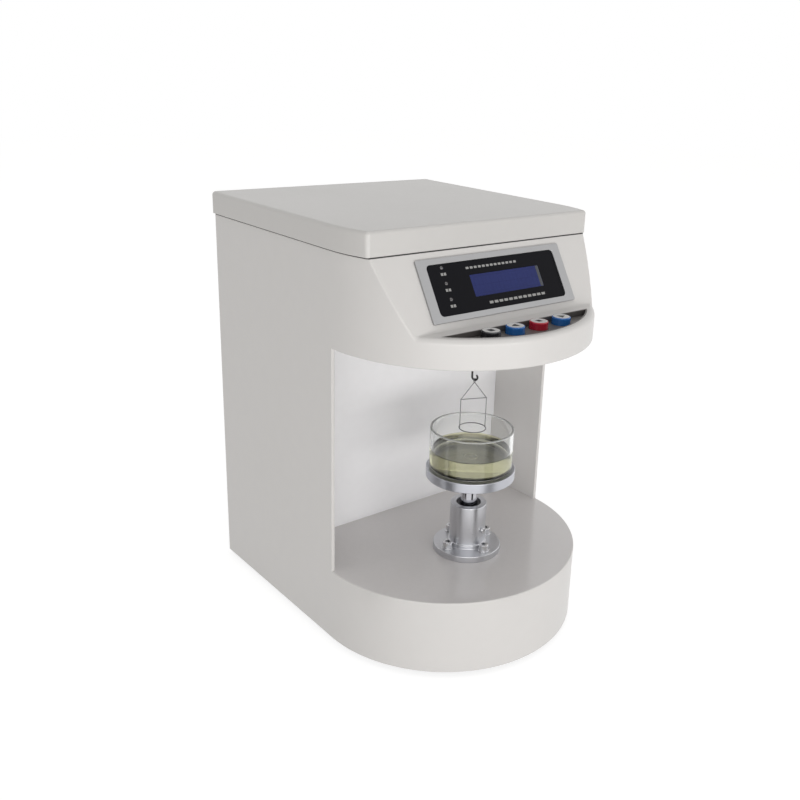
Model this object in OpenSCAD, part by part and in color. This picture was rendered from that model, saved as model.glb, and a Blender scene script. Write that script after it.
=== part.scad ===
// Surface tensiometer of the ring kind, for a laboratory bench.
// A wire ring hangs from a balance in the head, over a glass dish on a motor-driven lift.
// The case stands on +Z with its round nose towards -Y. The origin is on the bench,
// under the middle of the whole. Everything is in millimetres.

/* [Case] */
// Width of the case, twice the radius of its round nose
case_w = 200; // [190:2:230]
// Depth of the case, from the nose to the rear wall
case_d = 260; // [250:5:300]
// Thickness of the case wall
wall = 2.5; // [2:0.25:3]
// Radius of the two upright rear corners
corner_r = 3; // [2:0.5:8]
// Height of the base, up to the top of its deck
base_h = 54.3; // [54:0.5:70]
// Clear height between the deck and the head
throat_h = 162.9; // [155:1:200]
// Height of the upright chin at the foot of the head
chin_h = 19.7; // [18:0.5:25]
// Height of the head, up to the joint with its lid
head_h = 63.8; // [62:0.5:75]
// Distance from the nose to the foot of the sloping panel
ledge_d = 40.1; // [38:0.5:48]
// Distance from the nose to the upright front of the lid
lid_setback = 66.7; // [64:0.5:75]
// Rounding of the rim of the ledge
rim_round = 3.5; // [2:0.25:4]
// Distance from the nose to the back panel of the work space
recess_setback = 153.4; // [145:1:170]
// Thickness of the flat plates that close the case
plate_t = 2; // [1.5:0.25:2.5]
// Gap round a plate that sits inside the case
plate_gap = 0.15; // [0.1:0.05:0.3]

/* [Lid] */
// Height of the lid above its seal
lid_h = 16; // [12:0.5:22]
// How far the lid stands out over the case
lid_overhang = 1.5; // [0.5:0.25:3]
// Thickness of the lid
lid_wall = 3.5; // [3:0.25:5]
// Thickness of the seal under the lid
seal_t = 0.8; // [0.6:0.1:1.5]
// Width of the seal
seal_w = 2; // [1.5:0.25:3]

/* [Display] */
// Width of the metal bezel
bezel_w = 126; // [118:1:130]
// Height of the metal bezel along the slope
bezel_h = 42; // [38:0.5:44]
// Thickness of the bezel
bezel_t = 1.6; // [1:0.1:2.5]
// Width of the dark front foil
foil_w = 111.5; // [105:0.5:114]
// Height of the dark front foil
foil_h = 33.8; // [31:0.2:34.2]
// Thickness of the foil
foil_t = 0.8; // [0.5:0.1:1]
// Width of the display window
lcd_w = 62; // [55:1:66]
// Height of the display window
lcd_h = 15.1; // [13:0.5:18]
// Distance of the window's middle from the middle of the bezel
lcd_shift = 8; // [6:0.5:10]
// Diameter of an indicator light
led_d = 2.6; // [2:0.2:2.8]
// Spacing of the indicator lights
led_pitch = 10.6; // [9:0.2:10.8]
// Distance of the lights from the middle of the bezel
led_shift = 43.4; // [40:0.2:45]
// How far the row of lights sits above the middle
led_rise = 4; // [2:0.5:4.5]

/* [Buttons] */
// Diameter of a button
button_d = 12.6; // [10:0.2:13.4]
// Spacing of the buttons
button_pitch = 21; // [19:0.5:22]
// Distance from the nose to the middle of the buttons
button_setback = 24; // [22:0.5:24.5]
// How far a button stands above the ledge
button_proud = 1.2; // [0.8:0.1:2]
// Travel of a button
button_travel = 1.2; // [0.6:0.1:1.4]
// Depth of the sunk field round the buttons
field_depth = 3.8; // [2.5:0.1:4.5]
// Distance from the nose to the front edge of the field
field_inset = 5.5; // [5:0.25:7]
// Distance from the nose to the rear edge of the field
field_back = 32; // [31.5:0.25:34]

/* [Lift] */
// Distance from the nose to the measuring axis
axis_setback = 71.8; // [68:0.5:80]
// Diameter of the lift flange
flange_d = 49.8; // [46:0.5:56]
// Thickness of the lift flange
flange_t = 4.8; // [4:0.2:7]
// Diameter of the guide sleeve
sleeve_d = 26.6; // [25:0.2:28]
// Height of the guide sleeve above the deck
sleeve_h = 37.4; // [36:0.5:42]
// Diameter of the lift shaft
shaft_d = 12; // [10:0.5:13]
// Running clearance round a shaft
run_gap = 0.05; // [0.03:0.01:0.08]
// Height of the tray's underside above the deck, with the lift at rest
tray_rise = 58.5; // [58:0.5:62]
// Diameter of the tray
tray_d = 64.3; // [60:0.5:75]
// Thickness of the tray
tray_t = 7.1; // [6:0.5:10]
// Distance that the lift can go down from rest
lift_down = 16; // [10:1:16]
// Radius of the circle that the flange screws stand on
screw_circle = 18.5; // [17.5:0.25:19]
// Diameter of the lift screw
lead_d = 8; // [6:0.5:8.5]
// Side of the square lift motor
motor_w = 42; // [42:1:50]

/* [Dish] */
// Outer diameter of the glass dish
dish_d = 60; // [50:1:60]
// Height of the glass dish
dish_h = 30.3; // [27:0.5:30.5]
// Thickness of the glass
glass_t = 1.8; // [1.2:0.2:2.5]
// Depth of the liquid
liquid_h = 11.6; // [6:0.5:12]

/* [Ring] */
// Radius of the measuring ring, at the middle of its wire
ring_r = 9.55; // [8:0.05:12]
// Diameter of the wire of the ring and its stirrup
wire_d = 0.7; // [0.5:0.1:0.9]
// Height of the ring above the deck
ring_rise = 95.2; // [94.8:0.1:98]
// Height of the stirrup's crossbar above the ring
stirrup_h = 22; // [18:0.5:24]
// Height of the middle of the hook's bend above the ring
hook_rise = 35.9; // [34:0.1:40]
// Turn of the stirrup about the measuring axis, in degrees
stirrup_turn = -22; // [-40:1:0]
// Diameter of the hook's wire
hook_d = 1.4; // [1.2:0.1:1.6]
// Radius of the hook's bend
hook_r = 2.1; // [1.9:0.1:2.6]
// Turn of the hook about the measuring axis, in degrees
hook_turn = -70; // [-90:1:-50]

/* [Rear] */
// Width of the rear service plate
service_w = 150; // [140:2:170]
// Height of the rear service plate
service_h = 200; // [180:5:220]
// Thickness of the rear service plate
service_t = 1.5; // [1:0.25:2]
// How far the posts of the data socket stand out from the plate
post_l = 5.5; // [4:0.5:7]

/* [Feet] */
// Height of a rubber foot
foot_h = 4; // [3:0.5:10]
// Diameter of a rubber foot
foot_d = 22; // [18:1:30]

/* [Hidden] */

$fn = 96;
tiny = 0.01;

// Heights, from the bench up
case_z = foot_h;
deck_z = case_z + base_h;
head_z = deck_z + throat_h;
ledge_z = head_z + chin_h;
seam_z = head_z + head_h;
lid_z = seam_z + seal_t;

// Places along Y: the depth behind the rear wall counts in the whole
rear_y = (case_d - service_t - post_l) / 2;
nose_tip = rear_y - case_d;
nose_r = case_w / 2;
nose_y = nose_tip + nose_r;
ledge_y = nose_tip + ledge_d;
lid_y = nose_tip + lid_setback;
recess_y = nose_tip + recess_setback;
axis_y = nose_tip + axis_setback;

// The sloping panel
slope_run = lid_y - ledge_y;
slope_rise = seam_z - ledge_z;
lean = atan(slope_run / slope_rise);
slope_l = norm([slope_run, slope_rise]);
bezel_lip = 0.2;
seal_inset = 0.3;
post_d = 5;
board_depth = 8;
lcd_sunk = 0.2;
window_edge = 0.6;
panel_gap = 0.2;

// The buttons
button_y = nose_tip + button_setback;
button_top = ledge_z + button_proud;
field_wall = 0.8;
field_floor = 1;
field_z = ledge_z - field_depth;
button_hole = 0.4;
button_lip = 1.2;
lip_t = 1.2;
lip_z = field_z - field_floor - 0.3;
stem_d = 4;
switch_h = 3.5;
switch_w = 6;
stem_end = lip_z - lip_t - 2;
switch_top = stem_end - button_travel - 0.3;
board_t = 1.6;

// The lift: the motor hangs under the deck
bush_d = 18;
bush_h = 30;
bush_sunk = 1;
motor_top = deck_z - plate_t;
housing_h = 27;
cap_h = 9.5;
roof_h = 3.7;
bearing_d = 28;
bearing_h = 5;
rotor_d = 22;
rotor_end_d = 15;
rotor_top = motor_top - roof_h - 0.3;
rotor_h = 27.7;
lower_bearing_z = motor_top - housing_h - bearing_h;
nut_h = 12;
tray_z = deck_z + tray_rise;
dish_z = tray_z + tray_t;
shaft_z = rotor_top + lift_down + 2;
screw_foot = rotor_top - nut_h - 12.3;
screw_grip = 14;
deck_bore = 19;
m4 = 4;
m4_head = 7;
m4_head_h = 4.6;
washer_d = 8;
washer_t = 0.8;
key_d = 3;
key_z = deck_z + 18.7;
key_turn = -80;

// The ring and its hook
ring_z = deck_z + ring_rise;
bend_z = ring_z + hook_rise;
eye_gap = 0.1;
eye_r = 1.35;
leg_d = wire_d - 0.1;
bead_d = wire_d + 0.2;
eye_z = bend_z - (eye_r - leg_d / 2 - hook_d / 2 - eye_gap);
hook_tip = 130;
rod_d = 4;
rod_hole = 9;

// The balance, above the head's floor
floor_z = head_z + plate_t;
beam_w = 8;
beam_z = head_z + 16.8;
boss_d = 12;
yoke_w = 24;
coil_y = axis_y + 60;
magnet_d = 34;
magnet_h = 24;
magnet_z = head_z + 29;
coil_r = 11.2;
coil_t = 2.2;
coil_gap = 0.7;
frame_w = 52;
frame_leg = 6;
stop_gap = 1.1;

// The rear
service_z = case_z + 22;
service_lap = 8;
row_z = deck_z - plate_t - 10.8;
inlet_x = service_w / 2 - 33;
switch_x = 5;
fuse_x = -20;
data_x = 25 - service_w / 2;
vent_w = 46;
vent_h = 3.2;
vent_pitch = 9;
vent_x = 32;
vent_rise = 95;
pan_d = 5.5;
screw_d = 3;
rocker_depth = 1.5;
rocker_tip = 10;
rocker_pin_d = 1.6;
rocker_pin_l = 12;
pan_h = 1.6;

// The boards: the power supply fills the base between the motor's driver and the rear sockets
spacer_h = 8;
spacer_d = 6;
spacer_inset = 6;
board_w = 140;
board_l = 110;
board_rise = 30;
driver_w = 90;
driver_d = 40;
driver_y = nose_y + 22;
board_gap = 2.5;
supply_w = 100;
supply_h = 34;
supply_front = driver_y + driver_d / 2 + board_gap;
supply_rear = rear_y - wall - 31;
supply_d = supply_rear - supply_front;
terminal_w = 20;
terminal_h = 16;

// The folds of the back panel, and the feet
recess_fold = 14;
foot_rear = 28;
foot_side = 25;
foot_front_x = 45;
foot_front_y = 60;

// Outline of the case, moved in by a distance
module plan(inset = 0) {
    r = nose_r - inset;
    c = max(corner_r - inset, 0.4);
    back = rear_y - inset;
    translate([0, nose_y]) circle(r, $fn = 180);
    translate([-r, nose_y]) square([2 * r, back - c - nose_y]);
    translate([c - r, nose_y]) square([2 * (r - c), back - nose_y]);
    for (side = [-1, 1]) translate([side * (r - c), back - c]) circle(c, $fn = 48);
}

// A flat plate that fills the case at one height
module plate(z, t) translate([0, 0, z]) linear_extrude(t) plan(wall + plate_gap);

// Extrudes a shape drawn in Y and Z along X, centred
module across(w) translate([-w / 2, 0, 0]) rotate([90, 0, 90]) linear_extrude(w) children();

// Places a piece on the sloping panel: X across, Y up the slope, Z out of it
module on_slope() translate([0, ledge_y, ledge_z]) rotate([90 - lean, 0, 0])
    translate([0, slope_l / 2, 0]) children();

module at_axis(z) translate([0, axis_y, z]) children();

// Places a piece on the rear face: X across, Y up, Z out of the rear
module on_rear(x, z) translate([x, rear_y + service_t, z]) rotate([90, 0, 180]) children();

module tube(d, bore, h) difference() {
    cylinder(d = d, h = h);
    translate([0, 0, -1]) cylinder(d = bore, h = h + 2);
}

// The screws round the rear service plate
module service_places() for (side = [-1, 1], z = [4, service_h / 2, service_h - 4])
    on_rear(side * (service_w / 2 - 4), service_z + z) children();

// The screws in the rear of the lid
module lid_places() for (side = [-1, 1])
    translate([side * (nose_r - 30), rear_y + lid_overhang, lid_z + lid_h / 2]) rotate([-90, 0, 0]) children();

module block(w, d, h) translate([-w / 2, -d / 2, 0]) cube([w, d, h]);

// Field of the buttons, seen from above: a lens between the nose's arc and a chord
module lens(inset = 0) intersection() {
    translate([0, nose_y]) circle(nose_r - field_inset - inset, $fn = 180);
    translate([-nose_r, nose_tip]) square([case_w, field_back - inset]);
}

module button_places() for (i = [0:3]) translate([(i - 1.5) * button_pitch, button_y]) children();

module foot_places() for (side = [-1, 1]) {
    translate([side * (nose_r - foot_side), rear_y - foot_rear]) children();
    translate([side * foot_front_x, nose_y - foot_front_y]) children();
}

// Front of the head from the side: ledge and slope, moved in by a distance
function face_line(t) = [
    [nose_tip - 1, ledge_z - t],
    [ledge_y + t / cos(lean) - t * tan(lean), ledge_z - t],
    [lid_y + t / cos(lean), seam_z]
];

module over_face() polygon(concat(face_line(0), [[lid_y, seam_z + 1], [nose_tip - 1, seam_z + 1]]));

module face_sheet() {
    inner = face_line(wall);
    polygon(concat(face_line(0), [inner[2], inner[1], inner[0]]));
}

// Cutter that leaves a round rim on the ledge
module rim_cutter() intersection() {
    translate([0, nose_y, 0]) rotate_extrude($fn = 180) translate([nose_r - rim_round, ledge_z - rim_round])
        difference() {
            square(rim_round + 1);
            circle(rim_round);
        }
    translate([-nose_r - 1, nose_tip - 1, case_z]) cube([case_w + 2, ledge_d + 1 - tiny, seam_z]);
}

module case_shell() color("gainsboro") difference() {
    union() {
        difference() {
            translate([0, 0, case_z]) linear_extrude(seam_z - case_z) plan();
            translate([0, 0, case_z - 1]) linear_extrude(seam_z - case_z + 2) plan(wall);
            // the open front of the work space, and the deck's seat on the skirt
            translate([-nose_r - 1, nose_tip - 1, deck_z - plate_t])
                cube([case_w + 2, nose_r + 1, throat_h + plate_t]);
            across(case_w + 2) over_face();
        }
        intersection() {
            translate([0, 0, case_z]) linear_extrude(seam_z - case_z) plan(wall / 2);
            across(case_w) face_sheet();
        }
    }
    rim_cutter();
    // openings behind the display and round the button field
    on_slope() translate([0, 0, -wall - 1])
        block(foil_w - 2 * window_edge, foil_h - 2 * window_edge, wall + 2);
    translate([0, 0, ledge_z - wall - 1]) linear_extrude(wall + 2) lens();
    // the rear opening and its screw holes
    translate([-service_w / 2 + service_lap, rear_y - wall - 1, service_z + service_lap])
        cube([service_w - 2 * service_lap, wall + 2, service_h - 2 * service_lap]);
    service_places() translate([0, 0, -service_t - wall - 1]) cylinder(d = screw_d, h = wall + 2);
}

module recess_panel() color("silver") {
    w = case_w - 2 * (wall + plate_gap);
    translate([-w / 2, recess_y, deck_z]) cube([w, plate_t, throat_h]);
    for (z = [deck_z, head_z - plate_t]) translate([-w / 2, recess_y, z]) cube([w, recess_fold, plate_t]);
}

// The deck lies between the side walls and runs out over the nose's skirt, flush with its outside
module base_deck() color("gainsboro") difference() {
    union() {
        plate(deck_z - plate_t, plate_t);
        translate([0, 0, deck_z - plate_t]) linear_extrude(plate_t) intersection() {
            plan();
            translate([-nose_r - 1, nose_tip - 1]) square([case_w + 2, nose_r + 1]);
        }
    }
    at_axis(deck_z - plate_t - 1) cylinder(d = deck_bore, h = plate_t + 2);
    at_axis(deck_z - plate_t - 1) for (a = [0:90:270]) rotate(a) translate([screw_circle, 0])
        cylinder(d = m4, h = plate_t + 2);
    translate([0, rear_y - 40, deck_z - plate_t - 1]) cylinder(d = 30, h = plate_t + 2);
}

module head_floor() color("gainsboro") difference() {
    plate(head_z, plate_t);
    at_axis(head_z - 1) cylinder(d = rod_hole, h = plate_t + 2);
    translate([0, rear_y - 40, head_z - 1]) cylinder(d = 30, h = plate_t + 2);
}

module bottom_plate() color("gray") difference() {
    plate(case_z, plate_t);
    translate([0, 0, case_z - 1]) foot_places() cylinder(d = m4, h = plate_t + 2);
    for (i = [-3:3]) translate([i * 12, nose_y + 20, case_z - 1]) block(4, 50, plate_t + 2);
}

module service_plate() color("whitesmoke") difference() {
    translate([-service_w / 2, rear_y, service_z]) cube([service_w, service_t, service_h]);
    on_rear(inlet_x, row_z) translate([0, 0, -service_t - 1]) translate([-13.8, -9.8, 0])
        cube([27.6, 19.6, service_t + 2]);
    on_rear(switch_x, row_z) translate([0, 0, -service_t - 1]) translate([-6.6, -9.6, 0])
        cube([13.2, 19.2, service_t + 2]);
    on_rear(fuse_x, row_z) translate([0, 0, -service_t - 1]) cylinder(d = 12.4, h = service_t + 2);
    on_rear(data_x, row_z) translate([-8.2, -4.4, -service_t - 1]) cube([16.4, 8.8, service_t + 2]);
    service_places() translate([0, 0, -service_t - 1]) cylinder(d = screw_d, h = service_t + 2);
    for (x = [-vent_x, vent_x], i = [0:8]) on_rear(x, service_z + vent_rise + vent_pitch * i)
        translate([-vent_w / 2, -vent_h / 2, -service_t - 1]) cube([vent_w, vent_h, service_t + 2]);
}

module lid_plan(inset = 0) intersection() {
    plan(inset - lid_overhang);
    translate([-case_w, lid_y + inset]) square([2 * case_w, case_d]);
}

module top_lid() color("whitesmoke") difference() {
    translate([0, 0, lid_z]) linear_extrude(lid_h) lid_plan();
    translate([0, 0, lid_z - 1]) linear_extrude(lid_h - lid_wall + 1) lid_plan(lid_wall);
    lid_places() translate([0, 0, -lid_wall - 1]) cylinder(d = screw_d, h = lid_wall + 2);
}

module seal_plan(inset) intersection() {
    plan(inset);
    translate([-case_w, lid_y + inset]) square([2 * case_w, case_d]);
}

module lid_seal() color("dimgray") translate([0, 0, seam_z]) linear_extrude(seal_t) difference() {
    seal_plan(seal_inset);
    seal_plan(seal_inset + seal_w);
}

module lid_screws() color("silver") lid_places() {
    cylinder(d = pan_d, h = pan_h);
    translate([0, 0, -lid_wall - 2]) cylinder(d = screw_d, h = lid_wall + 2);
}

module display_bezel() color("darkgray") on_slope() difference() {
    block(bezel_w, bezel_h, bezel_t);
    translate([0, 0, -1]) block(foil_w + bezel_lip, foil_h + bezel_lip, bezel_t + 2);
}

module display_foil() color([0.08, 0.08, 0.09]) on_slope() difference() {
    block(foil_w, foil_h, foil_t);
    translate([lcd_shift, 0, -1]) block(lcd_w, lcd_h, foil_t + 2);
    for (i = [-1:1]) translate([-led_shift, led_rise + i * led_pitch, -1])
        cylinder(d = led_d + panel_gap, h = foil_t + 2);
}

module lcd_module() color("royalblue") on_slope() translate([lcd_shift, 0, 0]) {
    translate([0, 0, -5]) block(lcd_w - panel_gap, lcd_h - panel_gap, 5 + foil_t - lcd_sunk);
    translate([0, 0, -board_depth]) block(lcd_w + 12, lcd_h + 9, board_depth - 1);
}

module indicator_lights() color("darkred") on_slope() for (i = [-1:1])
    translate([-led_shift, led_rise + i * led_pitch, -board_depth]) {
        cylinder(d = led_d, h = board_depth + foil_t);
        cylinder(d = led_d + 0.6, h = 3);
    }

module display_board() color("seagreen") on_slope() {
    translate([0, 0, -board_depth - board_t]) block(bezel_w - 4, foil_h - 2, board_t);
    translate([-32, -6, -board_depth - board_t - 6]) block(14, 9, 6);
    translate([20, 2, -board_depth - board_t - 4]) block(22, 12, 4);
    for (x = [-1, 1], y = [-1, 1]) translate([x * (bezel_w / 2 - 4.5), y * 11, -board_depth])
        cylinder(d = post_d, h = board_depth - wall);
}

module button_field() color([0.25, 0.24, 0.24]) difference() {
    translate([0, 0, field_z - field_floor]) linear_extrude(field_depth + field_floor) lens(plate_gap);
    translate([0, 0, field_z]) linear_extrude(field_depth + 1) lens(plate_gap + field_wall);
    translate([0, 0, field_z - field_floor - 1]) button_places()
        cylinder(d = button_d + 2 * button_hole, h = field_floor + 2);
}

// One push button: a flat cap, a lip that holds it under the field and a stem
module button(i) translate([(i - 2.5) * button_pitch, button_y, 0]) {
    translate([0, 0, lip_z - lip_t]) cylinder(d = button_d, h = button_top - lip_z + lip_t);
    translate([0, 0, lip_z - lip_t]) cylinder(d = button_d + 2 * button_lip, h = lip_t);
    translate([0, 0, stem_end]) cylinder(d = stem_d, h = lip_z - lip_t - stem_end);
}

module button_1() color([0.2, 0.2, 0.22]) button(1);
module button_2() color([0.1, 0.4, 0.75]) button(2);
module button_3() color([0.75, 0.1, 0.15]) button(3);
module button_4() color([0.1, 0.4, 0.75]) button(4);

module button_board() color("seagreen") {
    top = switch_top - switch_h;
    translate([0, button_y, top - board_t]) block(3 * button_pitch + 26, 13, board_t);
    for (side = [-1, 1]) translate([side * (1.5 * button_pitch + 10), button_y, top])
        cylinder(d = 3, h = field_z - field_floor - top);
}

module button_switches() color([0.15, 0.15, 0.15]) translate([0, 0, switch_top - switch_h])
    button_places() block(switch_w, switch_w, switch_h);

module guide_sleeve() color("silver") at_axis(deck_z) difference() {
    union() {
        cylinder(d = flange_d, h = flange_t);
        cylinder(d = sleeve_d + 2, h = flange_t + 3);
        cylinder(d = sleeve_d, h = sleeve_h);
    }
    translate([0, 0, -1]) cylinder(d = bush_d, h = sleeve_h + 2);
    for (a = [0:90:270]) rotate(a) translate([screw_circle, 0, -1]) cylinder(d = m4, h = flange_t + 2);
    translate([0, 0, key_z - deck_z]) rotate([0, 90, key_turn]) cylinder(d = key_d, h = sleeve_d);
}

module flange_screws() color("silver") at_axis(deck_z + flange_t) for (a = [0:90:270])
    rotate(a) translate([screw_circle, 0, 0]) {
        cylinder(d = washer_d, h = washer_t);
        translate([0, 0, washer_t]) difference() {
            cylinder(d = m4_head, h = m4_head_h);
            translate([0, 0, m4_head_h - 2.2]) cylinder(d = 3.5, h = 3, $fn = 6);
        }
        translate([0, 0, -flange_t - plate_t - 6]) cylinder(d = m4 - 0.1, h = flange_t + plate_t + 7);
    }

module key_screw() color("silver") at_axis(key_z) rotate([0, 90, key_turn]) {
    translate([0, 0, bush_d / 2 + 0.5]) cylinder(d = key_d - 0.1, h = sleeve_d / 2 - bush_d / 2 + 1);
    translate([0, 0, sleeve_d / 2 + 0.1]) cylinder(d = 4.2, h = 2);
}

module guide_bush() color([0.2, 0.2, 0.22]) at_axis(deck_z + sleeve_h - bush_sunk - bush_h)
    tube(bush_d - 0.04, shaft_d + 2 * run_gap, bush_h);

module lift_shaft() color("silver") at_axis(0) difference() {
    translate([0, 0, shaft_z]) cylinder(d = shaft_d, h = tray_z - shaft_z);
    translate([0, 0, shaft_z - 1]) cylinder(d = lead_d, h = screw_grip + 1);
    translate([0, 0, tray_z - 12]) cylinder(d = 5, h = 13);
}

module lift_screw() color("dimgray") at_axis(screw_foot)
    cylinder(d = lead_d, h = shaft_z + screw_grip - screw_foot);

module sample_tray() color("silver") at_axis(tray_z) difference() {
    cylinder(d = tray_d, h = tray_t);
    translate([0, 0, -1]) cylinder(d = 5, h = tray_t + 2);
    translate([0, 0, tray_t - 2.5]) cylinder(d = 10, h = 3);
}

module tray_screw() color("silver") at_axis(tray_z + tray_t - 2.5) {
    cylinder(d = 9.8, h = 2.3);
    translate([0, 0, -14]) cylinder(d = 5, h = 15);
}

module glass_dish() color([0.85, 0.92, 0.9]) at_axis(dish_z) rotate_extrude() difference() {
    square([dish_d / 2, dish_h]);
    translate([-1, glass_t]) square([dish_d / 2 - glass_t + 1, dish_h]);
}

module sample_liquid() color([0.87, 0.87, 0.6]) at_axis(dish_z + glass_t)
    cylinder(d = dish_d - 2 * glass_t, h = liquid_h);

module motor_housing() color("dimgray") at_axis(0) difference() {
    translate([0, 0, motor_top - housing_h]) block(motor_w, motor_w, housing_h);
    translate([0, 0, motor_top - housing_h - 1]) cylinder(d = 36, h = housing_h - roof_h - bearing_h);
    translate([0, 0, motor_top - housing_h]) cylinder(d = bearing_d, h = housing_h - roof_h);
    translate([0, 0, motor_top - roof_h - 1]) cylinder(d = shaft_d + 1, h = roof_h + 2);
    for (a = [0:90:270]) rotate(a) translate([screw_circle, 0, motor_top - 8])
        cylinder(d = m4, h = 9);
}

module motor_cap() color("gray") at_axis(motor_top - housing_h - cap_h) difference() {
    block(motor_w, motor_w, cap_h);
    translate([0, 0, cap_h - bearing_h]) cylinder(d = bearing_d, h = bearing_h + 1);
    translate([0, 0, -1]) cylinder(d = lead_d + 2, h = cap_h + 2);
}

module motor_stator() color("peru") at_axis(motor_top - housing_h + 1) tube(36, rotor_d + 1, 15);

module rotor_nut() color("goldenrod") at_axis(rotor_top - rotor_h) difference() {
    union() {
        cylinder(d = rotor_end_d, h = rotor_h);
        translate([0, 0, 6]) cylinder(d = rotor_d, h = rotor_h - 12);
    }
    translate([0, 0, -1]) cylinder(d = lead_d + 2, h = rotor_h - nut_h + 1);
    translate([0, 0, -1]) cylinder(d = lead_d + 2 * run_gap, h = rotor_h + 2);
}

module rotor_bearings() color("silver") for (z = [lower_bearing_z, rotor_top - bearing_h])
    at_axis(z) tube(bearing_d - 0.04, rotor_end_d + 2 * run_gap, bearing_h);

module balance_frame() color("lightsteelblue") at_axis(0) {
    translate([0, 50, floor_z]) block(frame_w, 56, 4);
    for (side = [-1, 1]) {
        translate([side * (frame_w - frame_leg) / 2, coil_y - axis_y, floor_z])
            block(frame_leg, 30, magnet_z + magnet_h - floor_z);
        translate([side * 9.5, 29, floor_z]) block(5, 6, beam_z + 4 - floor_z);
    }
    translate([0, coil_y - axis_y, magnet_z + magnet_h]) block(frame_w, 34, 4);
}

module balance_magnet() color("dimgray") translate([0, coil_y, magnet_z]) difference() {
    cylinder(d = magnet_d, h = magnet_h);
    translate([0, 0, -1]) difference() {
        cylinder(r = coil_r + coil_gap, h = magnet_h - 5);
        translate([0, 0, -1]) cylinder(r = coil_r - coil_t - coil_gap, h = magnet_h);
    }
}

module balance_beam() color("silver") at_axis(beam_z) difference() {
    union() {
        cylinder(d = boss_d, h = beam_w);
        translate([0, 33, 0]) block(beam_w, 66, beam_w);
        translate([0, 6, 0]) block(yoke_w, 7.4, beam_w);
        translate([0, 60, 0]) cylinder(r = coil_r, h = beam_w);
    }
    translate([0, 0, -1]) cylinder(d = rod_d, h = beam_w + 2);
}

module balance_coil() color("peru") translate([0, coil_y, beam_z + beam_w])
    tube(2 * coil_r, 2 * (coil_r - coil_t), 17);

module flexure_strips() color("lightgray") at_axis(beam_z + 3.5) for (side = [-1, 1])
    translate([side * 9.5 - 2.5, 10, 0]) cube([5, 16, 0.5]);

module stop_screws() color("silver") for (y = [38, 44]) at_axis(floor_z + 4) translate([0, y, 0]) {
    cylinder(d = 3, h = beam_z - stop_gap - floor_z - 4);
    cylinder(d = 5.5, h = 2.4, $fn = 6);
}

// Rod through the head's floor, with the hook's wire bent under the measuring axis
module hook_rod() color([0.12, 0.12, 0.12]) at_axis(0) rotate(hook_turn) {
    rod_z = head_z - 9;
    translate([0, 0, rod_z]) cylinder(d = rod_d, h = beam_z + beam_w + 3 - rod_z);
    translate([-hook_r, 0, bend_z + hook_r]) cylinder(d = hook_d, h = rod_z + 2 - bend_z - hook_r, $fn = 32);
    translate([-hook_r, 0, rod_z + 1]) rotate([0, 90, 0]) cylinder(d = hook_d, h = hook_r, $fn = 32);
    translate([-hook_r, 0, rod_z + 1]) sphere(d = hook_d, $fn = 32);
    translate([0, 0, bend_z + hook_r]) rotate([90, 0, 0]) rotate([0, 0, 180])
        rotate_extrude(angle = hook_tip + 90, $fn = 64) translate([hook_r, 0]) circle(d = hook_d, $fn = 32);
}

module rod_between(a, b, d) {
    v = b - a;
    translate(a) rotate([0, acos(v.z / norm(v)), atan2(v.y, v.x)]) cylinder(d = d, h = norm(v), $fn = 24);
}

// Ring, two legs, crossbar and the two sloping wires to the eye on the hook, with soldered joints
module measuring_ring() color([0.35, 0.35, 0.36]) at_axis(0) {
    bar_z = ring_z + stirrup_h;
    foot = [0, 0, eye_z - eye_r];
    rotate(stirrup_turn) {
        translate([0, 0, ring_z]) rotate(90) rotate_extrude($fn = 96)
            translate([ring_r, 0]) circle(d = wire_d, $fn = 24);
        for (side = [-1, 1]) {
            corner = [side * ring_r, 0, bar_z];
            rod_between([side * ring_r, 0, ring_z - leg_d / 4], corner, leg_d);
            translate(corner) sphere(d = bead_d, $fn = 24);
            rod_between(corner, foot, leg_d);
        }
        rod_between([-ring_r, 0, bar_z], [ring_r, 0, bar_z], leg_d);
        translate(foot) sphere(d = bead_d, $fn = 24);
    }
    translate([0, 0, eye_z]) rotate([0, 90, hook_turn]) rotate_extrude($fn = 48)
        translate([eye_r, 0]) circle(d = leg_d, $fn = 24);
}

module main_board() color("seagreen")
    translate([0, recess_y + plate_t + spacer_h, deck_z + board_rise]) {
    translate([-board_w / 2, 0, 0]) cube([board_w, board_t, board_l]);
    translate([-60, board_t, 12]) cube([28, 14, 24]);
    translate([10, board_t, 60]) cube([30, 3, 30]);
    translate([-50, board_t, 70]) cube([40, 12, 22]);
    for (x = [20, 36, 52]) translate([x, board_t, 20]) rotate([-90, 0, 0]) cylinder(d = 12, h = 20);
}

module board_spacers() color("gold")
    for (side = [-1, 1], z = [spacer_inset, board_l - spacer_inset])
        translate([side * (board_w / 2 - spacer_inset), recess_y + plate_t, deck_z + board_rise + z])
            rotate([-90, 0, 0]) cylinder(d = spacer_d, h = spacer_h);

module power_supply() color("silver") translate([0, (supply_front + supply_rear) / 2, case_z + plate_t]) {
    translate([-terminal_w / 2, 0, 0]) block(supply_w, supply_d, supply_h);
    translate([supply_w / 2, 0, 4]) block(terminal_w, supply_d - 22, terminal_h);
}

module motor_driver() color("seagreen") translate([0, driver_y, case_z + plate_t]) {
    translate([0, 0, spacer_h]) block(driver_w, driver_d, board_t);
    for (x = [-1, 1], y = [-1, 1]) translate([x * (driver_w / 2 - 5), y * (driver_d / 2 - 5), 0])
        cylinder(d = spacer_d, h = spacer_h);
    translate([-20, 0, spacer_h + board_t]) block(24, 20, 12);
    translate([22, 4, spacer_h + board_t]) block(16, 10, 9);
}

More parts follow.
